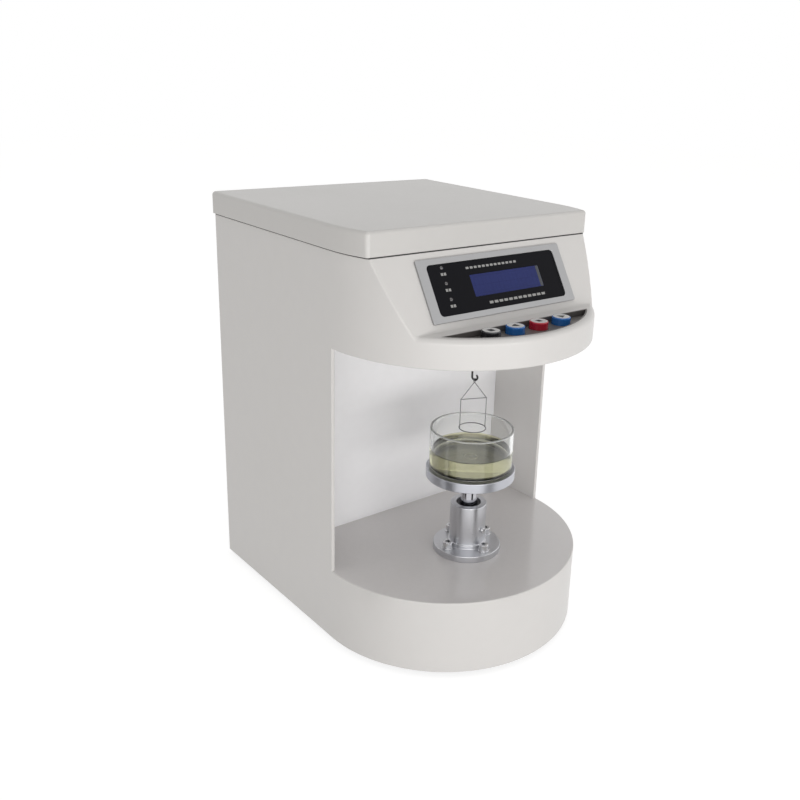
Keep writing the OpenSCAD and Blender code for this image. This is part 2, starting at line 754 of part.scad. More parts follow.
module mains_inlet() color([0.12, 0.12, 0.12]) on_rear(inlet_x, row_z) {
    difference() {
        union() {
            translate([-25, -12, 0]) cube([50, 24, 2.2]);
            translate([-13.6, -9.6, -26]) cube([27.2, 19.2, 27]);
        }
        translate([-11.5, -8, -15]) cube([23, 16, 20]);
    }
    for (x = [-7, 0, 7]) translate([x - 1, x == 0 ? 1.2 : -3.4, -15 - tiny]) cube([2, 4, 13]);
}

module fuse_holder() color([0.12, 0.12, 0.12]) on_rear(fuse_x, row_z) {
    cylinder(d = 16, h = 1.5);
    translate([0, 0, 1.5]) cylinder(d = 12.5, h = 3);
    translate([0, 0, -24]) cylinder(d = 12, h = 24);
}

module switch_frame() color([0.12, 0.12, 0.12]) on_rear(switch_x, row_z) difference() {
    union() {
        translate([-7.5, -10.5, 0]) cube([15, 21, 2]);
        translate([-6.4, -9.4, -16]) cube([12.8, 18.8, 17]);
    }
    translate([-5.4, -8.6, -5]) cube([10.8, 17.2, 10]);
    translate([-rocker_pin_l / 2, 0, -rocker_depth]) rotate([0, 90, 0])
        cylinder(d = rocker_pin_d + 2 * run_gap, h = rocker_pin_l, $fn = 32);
}

// Rocker, tipped to its off side at rest, turning on an axis along X
module switch_rocker() color([0.6, 0.08, 0.08]) on_rear(switch_x, row_z) translate([0, 0, -rocker_depth])
    rotate([rocker_tip, 0, 0]) {
        translate([-5, 0, 0]) rotate([90, 0, 90]) linear_extrude(10)
            polygon([[-7.3, -1], [7.3, -1], [7.3, 4.8], [0, 3.4], [-7.3, 4.8]]);
        translate([0.2 - rocker_pin_l / 2, 0, 0]) rotate([0, 90, 0])
            cylinder(d = rocker_pin_d, h = rocker_pin_l - 0.4, $fn = 32);
    }

module data_socket() color("silver") on_rear(data_x, row_z) {
    translate([-15.5, -6.2, 0]) cube([31, 12.4, 1]);
    difference() {
        translate([-8, -4.2, -8]) cube([16, 8.4, 13]);
        translate([-7.5, -3.7, 1]) cube([15, 7.4, 5]);
    }
    for (side = [-1, 1]) translate([side * 12.5, 0, 1]) cylinder(d = 5.4, h = post_l - 1, $fn = 6);
}

module service_screws() color("silver") {
    service_places() {
        cylinder(d = pan_d, h = pan_h);
        translate([0, 0, -service_t - wall]) cylinder(d = screw_d, h = service_t + wall);
    }
    for (side = [-1, 1]) on_rear(inlet_x + side * 20, row_z) translate([0, 0, 2.2]) cylinder(d = 5, h = 1.4);
}

module rubber_feet() color([0.15, 0.15, 0.15]) foot_places() difference() {
    cylinder(d = foot_d, h = foot_h);
    translate([0, 0, -1]) cylinder(d = 9, h = foot_h / 2 + 1);
    cylinder(d = m4, h = foot_h + 1);
}

module foot_screws() color("silver") foot_places() translate([0, 0, foot_h / 2]) {
    translate([0, 0, -1.5]) cylinder(d = 7.5, h = 1.5);
    translate([0, 0, -tiny]) cylinder(d = m4 - 0.1, h = foot_h / 2 + plate_t + 3);
}

case_shell();
recess_panel();
base_deck();
head_floor();
bottom_plate();
service_plate();
top_lid();
lid_seal();
lid_screws();
display_bezel();
display_foil();
lcd_module();
indicator_lights();
display_board();
button_field();
button_1();
button_2();
button_3();
button_4();
button_board();
button_switches();
guide_sleeve();
flange_screws();
key_screw();
guide_bush();
lift_shaft();
lift_screw();
sample_tray();
tray_screw();
glass_dish();
sample_liquid();
motor_housing();
motor_cap();
motor_stator();
rotor_nut();
rotor_bearings();
balance_frame();
balance_magnet();
balance_beam();
balance_coil();
flexure_strips();
stop_screws();
hook_rod();
measuring_ring();
main_board();
board_spacers();
power_supply();
motor_driver();
mains_inlet();
fuse_holder();
switch_frame();
switch_rocker();
data_socket();
service_screws();
rubber_feet();
foot_screws();
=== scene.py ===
from math import atan, cos, hypot, pi, radians, sin

import bmesh
import bpy
from mathutils import Matrix, Vector


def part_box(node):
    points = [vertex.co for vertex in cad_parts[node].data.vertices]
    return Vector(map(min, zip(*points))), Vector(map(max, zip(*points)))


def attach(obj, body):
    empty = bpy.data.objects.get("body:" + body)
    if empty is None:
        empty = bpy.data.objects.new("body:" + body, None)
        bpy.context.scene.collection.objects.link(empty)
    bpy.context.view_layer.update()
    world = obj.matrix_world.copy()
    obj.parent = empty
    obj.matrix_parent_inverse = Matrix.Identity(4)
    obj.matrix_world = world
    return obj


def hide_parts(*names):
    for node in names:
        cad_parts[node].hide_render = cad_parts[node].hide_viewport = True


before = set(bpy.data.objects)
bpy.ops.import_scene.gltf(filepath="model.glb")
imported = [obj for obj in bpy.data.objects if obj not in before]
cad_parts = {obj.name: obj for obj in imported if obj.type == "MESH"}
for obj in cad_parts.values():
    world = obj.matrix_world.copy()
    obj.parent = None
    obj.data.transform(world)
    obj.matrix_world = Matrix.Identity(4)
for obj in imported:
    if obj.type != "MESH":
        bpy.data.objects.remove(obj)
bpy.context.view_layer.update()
scene = bpy.context.scene


# Camera. It stands in front of the nose, to its left, and looks down a little on the head.
# The shift gives the photograph's framing.
camera_place = (-0.40881, -0.51436, 0.39827)
camera_pan = radians(-40.623)
camera_dip = radians(18.834)
camera_roll = radians(2.397)
camera_data = bpy.data.cameras.new("camera")
camera_data.sensor_width = 36
camera_data.lens = 41.478
camera_data.shift_x = -0.0656
camera_data.shift_y = -0.0278
camera = bpy.data.objects.new("camera", camera_data)
camera.matrix_world = (
    Matrix.Translation(camera_place)
    @ Matrix.Rotation(camera_pan, 4, "Z")
    @ Matrix.Rotation(pi / 2 - camera_dip, 4, "X")
    @ Matrix.Rotation(camera_roll, 4, "Z")
)
scene.collection.objects.link(camera)
scene.camera = camera
scene.view_settings.view_transform = "Standard"


# Floor and light. A long low lamp stands in front to the left, a weak one to the right and a broad one
# above. Polished metal mirrors two black boards beside the deck. Camera, mirror and glass rays see the
# floor and the room as white, and the floor keeps the shadow.
room_light = 0.50
floor_shade = 0.30
floor_glow = 0.85


def fill(tree, node, sockets):
    """Sets or links a node's sockets, each given by its name or as i and its number."""
    for name, value in sockets.items():
        socket = node.inputs[int(name[1:]) if name[1:].isdigit() else name.replace("_", " ")]
        if isinstance(value, bpy.types.NodeSocket):
            tree.links.new(value, socket)
        else:
            socket.default_value = value


def join(tree, kind, settings=None, **sockets):
    """Adds a shader node. A socket's value is a number, a colour or another node's output."""
    node = tree.nodes.new("ShaderNode" + kind)
    for name, value in (settings or {}).items():
        setattr(node, name, value)
    fill(tree, node, sockets)
    return node


def maths(tree, operation, *values):
    """The result of a math node on its values."""
    given = {f"i{number}": value for number, value in enumerate(values)}
    return join(tree, "Math", {"operation": operation}, **given).outputs[0]


def bare_material(name):
    """A new material and its empty node tree."""
    made = bpy.data.materials.new(name)
    made.use_nodes = True
    made.node_tree.nodes.clear()
    return made, made.node_tree


def seen_direct(tree):
    """1 for camera, mirror and glass rays, 0 for the rays that carry light."""
    path = join(tree, "LightPath").outputs
    mirror = maths(tree, "MAXIMUM", path["Is Glossy Ray"], path["Is Transmission Ray"])
    return maths(tree, "MAXIMUM", path["Is Camera Ray"], mirror)


room = bpy.data.worlds.new("room")
room.use_nodes = True
tree = room.node_tree
tree.nodes.clear()
light = join(tree, "Background", Color=(1, 0.985, 0.97, 1), Strength=room_light)
white = join(tree, "Background", Color=(1, 1, 1, 1), Strength=1)
mixed = join(tree, "MixShader", i0=seen_direct(tree), i1=light.outputs[0], i2=white.outputs[0])
join(tree, "OutputWorld", Surface=mixed.outputs[0])
scene.world = room

floor_paper, tree = bare_material("floor_paper")
carried = join(tree, "BsdfDiffuse", Color=(0.92, 0.92, 0.92, 1))
shade = join(tree, "BsdfDiffuse", Color=(floor_shade, floor_shade, floor_shade, 1))
glow = join(tree, "Emission", Color=(1, 1, 1, 1), Strength=floor_glow)
shown = join(tree, "AddShader", i0=shade.outputs[0], i1=glow.outputs[0])
mixed = join(tree, "MixShader", i0=seen_direct(tree), i1=carried.outputs[0], i2=shown.outputs[0])
join(tree, "OutputMaterial", Surface=mixed.outputs[0])

bm = bmesh.new()
bmesh.ops.create_grid(bm, x_segments=1, y_segments=1, size=4)
floor_mesh = bpy.data.meshes.new("floor")
bm.to_mesh(floor_mesh)
bm.free()
floor_mesh.materials.append(floor_paper)
floor = bpy.data.objects.new("floor", floor_mesh)
scene.collection.objects.link(floor)


def lamp(name, place, aim, width, height, power, colour):
    """An area lamp at a place, turned to a point."""
    data = bpy.data.lights.new(name, "AREA")
    data.shape = "RECTANGLE"
    data.size = width
    data.size_y = height
    data.energy = power
    data.color = colour
    holder = bpy.data.objects.new(name, data)
    turn = (Vector(aim) - Vector(place)).to_track_quat("-Z", "Y").to_matrix().to_4x4()
    holder.matrix_world = Matrix.Translation(place) @ turn
    scene.collection.objects.link(holder)


lamp("front_lamp", (-0.42, -1.15, 0.14), (0, 0, 0.12), 2.0, 0.26, 8.6, (1, 0.99, 0.98))
lamp("right_lamp", (1.9, -0.9, 0.45), (0, 0, 0.12), 1.2, 0.8, 1.6, (1, 0.99, 0.98))
lamp("top_lamp", (0.1, -0.3, 2.3), (0, 0, 0.3), 1.8, 1.8, 5.5, (1, 0.99, 0.98))


def dark_card(name, bearing, reach, width, height):
    """A black board beside the deck that shows only in glossy reflections."""
    board = bmesh.new()
    middle = Vector((reach * cos(bearing), reach * sin(bearing) - 0.062, height / 2))
    place = Matrix.Translation(middle) @ Matrix.Rotation(bearing, 4, "Z") @ Matrix.Rotation(pi / 2, 4, "Y")
    place = place @ Matrix.Diagonal((height, width, 1, 1))
    bmesh.ops.create_grid(board, x_segments=1, y_segments=1, size=0.5, matrix=place)
    mesh = bpy.data.meshes.new(name)
    board.to_mesh(mesh)
    board.free()
    mesh.materials.append(card_black)
    card = bpy.data.objects.new(name, mesh)
    scene.collection.objects.link(card)
    card.visible_camera = False
    card.visible_diffuse = False
    card.visible_transmission = False
    card.visible_shadow = False


card_black, tree = bare_material("card_black")
board_cloth = join(tree, "BsdfDiffuse", Color=(0.015, 0.015, 0.016, 1))
join(tree, "OutputMaterial", Surface=board_cloth.outputs[0])
dark_card("left_card", radians(181), 0.17, 0.07, 0.16)
dark_card("right_card", radians(276), 0.17, 0.07, 0.16)


# Painted case. One sheet-metal shell, folded and welded: a skirt with a round nose, two side walls
# and a head whose chin overhangs the work space. It is powder coated in a warm light grey.
case_low, case_top = [corner * 1000 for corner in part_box("case_shell")]
deck_low, deck_top = [corner * 1000 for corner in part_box("base_deck")]
floor_low, floor_top = [corner * 1000 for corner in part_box("head_floor")]
field_low, field_top = [corner * 1000 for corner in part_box("button_field")]
lid_low, lid_top = [corner * 1000 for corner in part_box("top_lid")]
nose_r = case_top.x
nose_tip = case_low.y
nose_y = nose_tip + nose_r
rear_y = case_top.y
deck_z = deck_top.z
head_z = floor_low.z
ledge_z = field_top.z
seam_z = case_top.z
wall = 2.5
rear_corner = 3.0
slope_run = 26.6
ledge_y = lid_low.y - slope_run
slope_rise = seam_z - ledge_z
lean = atan(slope_run / slope_rise)
slope_length = hypot(slope_run, slope_rise)
rim_round = 3.5


def drawn_out(bm, faces, vec):
    """Extrudes faces along a vector and returns what the operator made."""
    grown = bmesh.ops.extrude_face_region(bm, geom=faces)["geom"]
    ends = [item for item in grown if isinstance(item, bmesh.types.BMVert)]
    bmesh.ops.translate(bm, verts=ends, vec=vec)
    return grown


def raised(bm, height):
    """Extrudes a flat bmesh along Z into a closed solid."""
    drawn_out(bm, bm.faces[:], (0, 0, height))
    bmesh.ops.recalc_face_normals(bm, faces=bm.faces)
    return bm


def sunk_in(bm, faces, rim, vec):
    """Leaves a rim round flat faces and sinks the rest, as an open hollow with a floor."""
    bmesh.ops.inset_region(bm, faces=faces, thickness=rim, use_even_offset=True)
    drawn_out(bm, faces, vec)
    bmesh.ops.delete(bm, geom=[face for face in faces if face.is_valid], context="FACES_ONLY")


def placed(bm, place):
    """Moves a whole bmesh by a matrix."""
    bmesh.ops.transform(bm, matrix=place, verts=bm.verts)
    return bm


def add_rod(bm, radius, depth, place, segments):
    """Adds a round rod about Z, or a prism if it has few segments."""
    bmesh.ops.create_cone(
        bm, cap_ends=True, segments=segments, radius1=radius, radius2=radius, depth=depth, matrix=place
    )


def nose_plan(radius, width, back, corner, z):
    """A flat face: a round nose of that radius, and behind it a straight part with rounded rear corners."""
    bm = bmesh.new()
    first = bm.verts.new((-radius, nose_y, z))
    arc = bmesh.ops.spin(
        bm, geom=[first], cent=(0, nose_y, z), axis=(0, 0, 1), dvec=(0, 0, 0), angle=pi, steps=96
    )
    last = [item for item in arc["geom_last"] if isinstance(item, bmesh.types.BMVert)][0]
    ring = [last]
    if width < radius:
        ring.append(bm.verts.new((width, nose_y, z)))
    corners = [bm.verts.new((side * width, back, z)) for side in (1, -1)]
    ring += corners
    if width < radius:
        ring.append(bm.verts.new((-width, nose_y, z)))
    ring.append(first)
    for a, b in zip(ring, ring[1:]):
        bm.edges.new((a, b))
    bmesh.ops.contextual_create(bm, geom=bm.edges[:])
    bmesh.ops.bevel(
        bm, geom=corners, offset=corner, segments=8, profile=0.5, affect="VERTICES", material=-1
    )
    return bm


def side_prism(points, half_width):
    """A prism along X whose outline is given in Y and Z."""
    bm = bmesh.new()
    verts = [bm.verts.new((-half_width, y, z)) for y, z in points]
    bmesh.ops.contextual_create(bm, geom=verts)
    drawn_out(bm, bm.faces[:], (2 * half_width, 0, 0))
    bmesh.ops.recalc_face_normals(bm, faces=bm.faces)
    return bm


def brick(low, high):
    """A box between two corners."""
    low, high = Vector(low), Vector(high)
    bm = bmesh.new()
    size = high - low
    place = Matrix.Translation((low + high) / 2) @ Matrix.Diagonal((*size, 1))
    bmesh.ops.create_cube(bm, size=1, matrix=place)
    return bm


def over_face(depth):
    """What lies in front of the ledge and the slope, moved inwards by a depth."""
    foot = ledge_y + depth / cos(lean) - depth * sin(lean) / cos(lean)
    head = lid_low.y + depth / cos(lean)
    top = seam_z + 5
    front = nose_tip - 5
    return side_prism(
        [(front, ledge_z - depth), (foot, ledge_z - depth), (head, seam_z), (head, top), (front, top)],
        nose_r + 5,
    )


def loose(bm):
    """A bmesh as an object for a modifier to work on."""
    mesh = bpy.data.meshes.new("blank")
    bm.to_mesh(mesh)
    blank = bpy.data.objects.new("blank", mesh)
    scene.collection.objects.link(blank)
    return blank


def taken_back(bm, blank):
    """Fills the bmesh again with the object's mesh, as its modifiers leave it."""
    finished = blank.evaluated_get(bpy.context.evaluated_depsgraph_get())
    bm.clear()
    bm.from_mesh(finished.to_mesh())
    finished.to_mesh_clear()
    bpy.data.meshes.remove(blank.data)


def cut(bm, *tools, operation="DIFFERENCE"):
    """Takes the tools out of a solid, or adds them to it."""
    for tool in tools:
        blank, blade = loose(bm), loose(tool)
        modifier = blank.modifiers.new("cut", "BOOLEAN")
        modifier.operation = operation
        modifier.solver = "EXACT"
        modifier.object = blade
        taken_back(bm, blank)
        bpy.data.meshes.remove(blade.data)
        tool.free()
    return bm


def round_edges(bm, radius_of, largest, segments=5):
    """Rounds each edge by the radius that radius_of gives for its middle, or leaves it at 0."""
    layers = bm.edges.layers.float
    weight = layers.get("bevel_weight_edge") or layers.new("bevel_weight_edge")
    for edge in bm.edges:
        sharp = len(edge.link_faces) == 2 and edge.calc_face_angle(0) > radians(24)
        edge[weight] = radius_of((edge.verts[0].co + edge.verts[1].co) / 2) / largest if sharp else 0
    blank = loose(bm)
    modifier = blank.modifiers.new("round", "BEVEL")
    modifier.limit_method = "WEIGHT"
    modifier.width = largest
    modifier.segments = segments
    modifier.use_clamp_overlap = False
    taken_back(bm, blank)
    bm.edges.layers.float.remove(bm.edges.layers.float["bevel_weight_edge"])
    return bm


def softened(bm, radius, segments=2, angle=30):
    """Gives every sharp edge of a solid the same small radius."""
    sharp = [
        edge for edge in bm.edges
        if len(edge.link_faces) == 2 and edge.calc_face_angle(0) > radians(angle)
    ]
    bmesh.ops.bevel(
        bm, geom=sharp, offset=radius, offset_type="OFFSET", segments=segments, profile=0.5,
        affect="EDGES", clamp_overlap=True, loop_slide=True, material=-1,
    )
    return bm


def piece(name, bm, body, slot, *materials, stands_for=(), smooth=32, even=True):
    """Makes a piece from a bmesh in millimetres, and rides it on its body."""
    bmesh.ops.remove_doubles(bm, verts=bm.verts, dist=0.0005)
    bmesh.ops.scale(bm, vec=(0.001, 0.001, 0.001), verts=bm.verts)
    mesh = bpy.data.meshes.new(name)
    bm.to_mesh(mesh)
    bm.free()
    for material in materials:
        mesh.materials.append(material)
    mesh.shade_smooth()
    mesh.set_sharp_from_angle(angle=radians(smooth))
    made = bpy.data.objects.new(name, mesh)
    scene.collection.objects.link(made)
    if even:
        made.modifiers.new("even_normals", "WEIGHTED_NORMAL").keep_sharp = True
    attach(made, body)
    if stands_for:
        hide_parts(*stands_for)
    return made


def group(name, inputs, outputs):
    """A new node group with named sockets, its input node and a function that sets its outputs."""
    made = bpy.data.node_groups.new(name, "ShaderNodeTree")
    kinds = {"value": "NodeSocketFloat", "colour": "NodeSocketColor", "vector": "NodeSocketVector"}
    for socket, (kind, start) in inputs.items():
        made.interface.new_socket(socket, in_out="INPUT", socket_type=kinds[kind]).default_value = start
    for socket, kind in outputs.items():
        made.interface.new_socket(socket, in_out="OUTPUT", socket_type=kinds[kind])
    given = made.nodes.new("NodeGroupInput")
    put_out = made.nodes.new("NodeGroupOutput")
    return made, given.outputs, put_out.inputs


def place_group(tree, made, **values):
    """Places a node group in a material with its own values, and returns its outputs."""
    node = tree.nodes.new("ShaderNodeGroup")
    node.node_tree = made
    fill(tree, node, values)
    return node.outputs


# Cloudy tone: the slow unevenness of a coat or a casting, in its tone and in its gloss
cloudy, given, put_out = group(
    "cloudy",
    {
        "Tone": ("colour", (0.5, 0.5, 0.5, 1)), "Depth": ("value", 0.05), "Size": ("value", 40.0),
        "Roughness": ("value", 0.4), "Spread": ("value", 0.1),
    },
    {"Tone": "colour", "Roughness": "value"},
)
where = join(cloudy, "TexCoord").outputs["Object"]
broad = join(cloudy, "TexNoise", Vector=where, Scale=given["Size"], Detail=4.0).outputs[0]
fine_size = maths(cloudy, "MULTIPLY", given["Size"], 11.0)
fine = join(cloudy, "TexNoise", Vector=where, Scale=fine_size, Detail=2.0).outputs[0]
both = maths(cloudy, "ADD", broad, fine)
swing = maths(cloudy, "SUBTRACT", both, 1.0)
gain = maths(cloudy, "MULTIPLY_ADD", swing, given["Depth"], 1.0)
tone = join(cloudy, "HueSaturation", Value=gain, Color=given["Tone"]).outputs[0]
rough = maths(cloudy, "MULTIPLY_ADD", swing, given["Spread"], given["Roughness"])
cloudy.links.new(tone, put_out["Tone"])
cloudy.links.new(rough, put_out["Roughness"])

# Pebbled: the fine orange-peel skin of powder coat and of moulded plastic
pebbled, given, put_out = group(
    "pebbled",
    {"Size": ("value", 900.0), "Waves": ("value", 0.3)},
    {"Height": "value"},
)
where = join(pebbled, "TexCoord").outputs["Object"]
small = join(pebbled, "TexNoise", Vector=where, Scale=given["Size"], Detail=2.0, Roughness=0.4).outputs[0]
wave_size = maths(pebbled, "MULTIPLY", given["Size"], 0.12)
waves = join(pebbled, "TexNoise", Vector=where, Scale=wave_size, Detail=1.0).outputs[0]
height = maths(pebbled, "MULTIPLY_ADD", waves, given["Waves"], small)
pebbled.links.new(height, put_out["Height"])


def material(name, tone, roughness, metallic=0.0, depth=0.05, size=40.0, spread=0.1, bumps=None, **sockets):
    """A material with a cloudy tone. bumps gives the size, the waves and the depth of its skin."""
    made, tree = bare_material(name)
    coat = place_group(
        tree, cloudy, Tone=(*tone, 1), Depth=depth, Size=size, Roughness=roughness, Spread=spread
    )
    shader = join(
        tree, "BsdfPrincipled", Base_Color=coat["Tone"], Roughness=coat["Roughness"], Metallic=metallic
    )
    fill(tree, shader, sockets)
    if bumps:
        skin = place_group(tree, pebbled, Size=bumps[0], Waves=bumps[1])
        bump = join(tree, "Bump", Strength=1.0, Distance=bumps[2], Height=skin["Height"])
        tree.links.new(bump.outputs[0], shader.inputs["Normal"])
    join(tree, "OutputMaterial", Surface=shader.outputs[0])
    return made


case_paint = material(
    "case_paint", (0.655, 0.643, 0.630), 0.34, depth=0.03, size=9, spread=0.0,
    Coat_Weight=0.12, Coat_Roughness=0.12,
)

shell = raised(nose_plan(nose_r, nose_r, rear_y, rear_corner, case_low.z), seam_z - case_low.z)
hollow = raised(
    nose_plan(nose_r - wall, nose_r - wall, rear_y - wall, 0.5, case_low.z - 1), seam_z - case_low.z + 2
)
cut(hollow, over_face(wall))
lens_inset = 5.5
field_back = nose_tip + 32


def lens_plan(inset, z):
    """The outline of the button field: a lens between an arc and a chord."""
    bm = bmesh.new()
    place = Matrix.Translation((0, nose_y, z))
    lens_r = nose_r - lens_inset - inset
    bmesh.ops.create_circle(bm, cap_ends=True, radius=lens_r, segments=256, matrix=place)
    bmesh.ops.bisect_plane(
        bm, geom=bm.verts[:] + bm.edges[:] + bm.faces[:], plane_co=(0, field_back - inset, 0),
        plane_no=(0, 1, 0), clear_outer=True,
    )
    return bm


slope_place = (
    Matrix.Translation((0, ledge_y, ledge_z))
    @ Matrix.Rotation(pi / 2 - lean, 4, "X")
    @ Matrix.Translation((0, slope_length / 2, 0))
)
behind_display = (55, 16.2)
display_opening = brick((-behind_display[0], -behind_display[1], -5), (*behind_display, 2))
placed(display_opening, slope_place)
opening_x, opening_low, opening_top = 67, 34, 218
cut(
    shell,
    hollow,
    over_face(0),
    brick((-nose_r - 5, nose_tip - 5, deck_low.z), (nose_r + 5, nose_y, head_z)),
    display_opening,
    raised(lens_plan(0, ledge_z - wall - 1), wall + 2),
    brick((-opening_x, rear_y - wall - 1, opening_low), (opening_x, rear_y + 1, opening_top)),
)
bmesh.ops.dissolve_limit(shell, angle_limit=radians(0.05), verts=shell.verts, edges=shell.edges)


def case_rounding(middle):
    """Radius of an edge of the case, by where it lies."""
    reach = hypot(middle.x, min(middle.y - nose_y, 0))
    outer = reach > nose_r - 0.4
    inner = abs(reach - nose_r + wall) < 0.3
    if abs(middle.z - seam_z) < 0.1:
        return 0.4 if outer else 0
    if middle.z > ledge_z + 0.1 and middle.y < lid_low.y + 0.5:
        return 1.1 if outer else 0
    if abs(middle.z - ledge_z) < 0.1:
        if abs(middle.y - ledge_y) < 0.2:
            return 1.1
        return rim_round if outer else 0.35
    if abs(middle.z - head_z) < 0.1:
        return 0.9 if outer else 0.5 if inner else 0
    if abs(middle.y - nose_y) < 0.1 and deck_z < middle.z < head_z:
        return 0.55
    if abs(middle.z - case_low.z) < 0.1:
        return 0.6 if outer else 0.4
    return 0


round_edges(shell, case_rounding, rim_round, segments=6)
piece("painted_case", shell, "case", "cream_paint", case_paint, stands_for=["case_shell"])


def repaint(node, *materials):
    """Gives a CAD node that keeps its own shape a better material."""
    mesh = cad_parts[node].data
    mesh.materials.clear()
    for material in materials:
        mesh.materials.append(material)


repaint("head_floor", case_paint)


# Deck. A plate that closes the base: it lies between the side walls, runs out over the skirt's nose and is
# blended into it. Its top is a smoother, slightly greyer and glossier coat. A bore lets the lift through.
deck_paint = material(
    "deck_paint", (0.70, 0.68, 0.675), 0.20, depth=0.04, size=22, spread=0.10,
    bumps=(480, 1.0, 0.000005), Coat_Weight=0.5, Coat_Roughness=0.08,
)
deck = raised(nose_plan(nose_r, floor_top.x, floor_top.y, 1, deck_low.z), deck_top.z - deck_low.z)


def deck_rounding(middle):
    """The deck's edge is rounded only where it shows, over the skirt."""
    return 0.8 if abs(middle.z - deck_z) < 0.1 and middle.y < nose_y - 0.5 else 0


round_edges(deck, deck_rounding, 0.8, segments=4)
bush_low, bush_top = [corner * 1000 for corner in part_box("guide_bush")]
axis_y = (bush_low.y + bush_top.y) / 2
bore_r = bush_top.x + 0.5
bore = bmesh.new()
add_rod(bore, bore_r, 20, Matrix.Translation((0, axis_y, deck_z)), 64)
cut(deck, bore)
for face in deck.faces:
    face.material_index = 0 if face.normal.z > 0.9 or face.normal.z < -0.9 else 1
piece("deck", deck, "case", "deck_paint", deck_paint, case_paint, stands_for=["base_deck"])


# Back panel of the work space. A folded sheet with its flanges turned to the rear, sprayed in a cooler,
# flatter grey than the case, and much lighter in tone: painted light for the bright work space.
# Much lighter than the case's paint: painted light in the work space.
panel_paint = material(
    "panel_paint", (0.86, 0.86, 0.875), 0.42, depth=0.04, size=14, spread=0.12,
    bumps=(700, 0.9, 0.000008), Coat_Weight=0.1, Coat_Roughness=0.3,
)
repaint("recess_panel", panel_paint)


# Lid. A thick-edged moulded cover with an upright flat front, held by two screws at the rear.
# Its paint is a little duller than the case's and darker in tone: painted shade on its top. It rests on a
# thin foam seal that shows as a dark line.
# A darker copy of the case's paint: painted shade for the lid's top.
lid_paint_shaded = material(
    "lid_paint_shaded", (0.585, 0.575, 0.56), 0.38, depth=0.03, size=12, spread=0.10,
    bumps=(560, 1.0, 0.000008), Coat_Weight=0.15, Coat_Roughness=0.25,
)
lid_edge = 2.4
lid_wall = 3.5
lid = nose_plan(lid_top.x, lid_top.x, lid_top.y, 4.5, lid_low.z)
bmesh.ops.bisect_plane(
    lid, geom=lid.verts[:] + lid.edges[:] + lid.faces[:], plane_co=(0, lid_low.y, 0), plane_no=(0, -1, 0),
    clear_outer=True,
)
# The arc's last points go, since they lie too near the front corners to leave room for the rounding
at_corners = [vert for vert in lid.verts if lid_low.y + 0.1 < vert.co.y < lid_low.y + 3.2]
bmesh.ops.dissolve_verts(lid, verts=at_corners)
raised(lid, lid_top.z - lid_low.z)


def lid_rounding(middle):
    """The lid's top edge and its two upright front corners are well rounded, and its foot is eased."""
    if abs(middle.z - lid_low.z) < 0.1:
        return 0.5
    if abs(middle.z - lid_top.z) < 0.1 or middle.y < lid_low.y + 0.2:
        return lid_edge
    return 0


round_edges(lid, lid_rounding, lid_edge, segments=7)
under = [face for face in lid.faces if face.normal.z < -0.9 and face.calc_area() > 1000]
sunk_in(lid, under, lid_wall, (0, 0, lid_top.z - lid_low.z - lid_wall))
piece("lid", lid, "case", "cream_paint", lid_paint_shaded, stands_for=["top_lid"])

foam = material(
    "foam", (0.045, 0.043, 0.042), 0.9, depth=0.3, size=300, bumps=(1500, 0.4, 0.0001),
)
repaint("lid_seal", foam)


# Display. A brushed metal frame is glued on the slope, round a black printed foil. The foil leaves a window
# for a blue liquid crystal panel, and three small lamps show at its left.
def flat_plate(width, depth, height, corner, z=0.0, x=0.0, y=0.0):
    """A flat plate with rounded upright corners, standing on z."""
    bm = bmesh.new()
    place = Matrix.Translation((x, y, z)) @ Matrix.Diagonal((width, depth, 1, 1))
    bmesh.ops.create_grid(bm, x_segments=1, y_segments=1, size=0.5, matrix=place)
    if corner:
        bmesh.ops.bevel(
            bm, geom=bm.verts[:], offset=corner, segments=6, profile=0.5, affect="VERTICES", material=-1
        )
    return raised(bm, height)


def on_slope(bm):
    """Moves a piece from the slope's own axes, X across and Z out of it, to its place."""
    return placed(bm, slope_place)


# Drawn: the straight grain of brushed metal, along one axis of a turned frame
drawn, given, put_out = group(
    "drawn",
    {"Place": ("vector", (0, 0, 0)), "Turn": ("vector", (0, 0, 0)), "Stretch": ("vector", (40, 2500, 40))},
    {"Height": "value"},
)
where = join(drawn, "TexCoord").outputs["Object"]
turned = join(
    drawn, "Mapping", {"vector_type": "TEXTURE"},
    Vector=where, Location=given["Place"], Rotation=given["Turn"],
).outputs[0]
long = join(drawn, "VectorMath", {"operation": "MULTIPLY"}, i0=turned, i1=given["Stretch"]).outputs[0]
grain = join(drawn, "TexNoise", Vector=long, Scale=1.0, Detail=3.0).outputs[0]
drawn.links.new(grain, put_out["Height"])


def grained_metal(name, tone, roughness, marks, depth, spread=0.25, **sockets):
    """Metal whose fine marks come from a group's Height output. Its gloss follows the marks."""
    made, tree = bare_material(name)
    metal = place_group(
        tree, cloudy, Tone=(*tone, 1), Depth=0.06, Size=60.0, Roughness=roughness, Spread=0.06
    )
    height = marks(tree)
    swing = maths(tree, "SUBTRACT", height, 0.5)
    rough = maths(tree, "MULTIPLY_ADD", swing, spread, metal["Roughness"])
    bump = join(tree, "Bump", Strength=1.0, Distance=depth, Height=height)
    shader = join(
        tree, "BsdfPrincipled", Base_Color=metal["Tone"], Roughness=rough, Metallic=1.0,
        Normal=bump.outputs[0],
    )
    fill(tree, shader, sockets)
    join(tree, "OutputMaterial", Surface=shader.outputs[0])
    return made


slope_middle = slope_place.to_translation() * 0.001
slope_turn = (pi / 2 - lean, 0, 0)


def brush_marks(tree):
    """Marks for grained_metal on the display's frame, along its length."""
    return place_group(tree, drawn, Place=slope_middle, Turn=slope_turn, Stretch=(60, 3000, 60))["Height"]


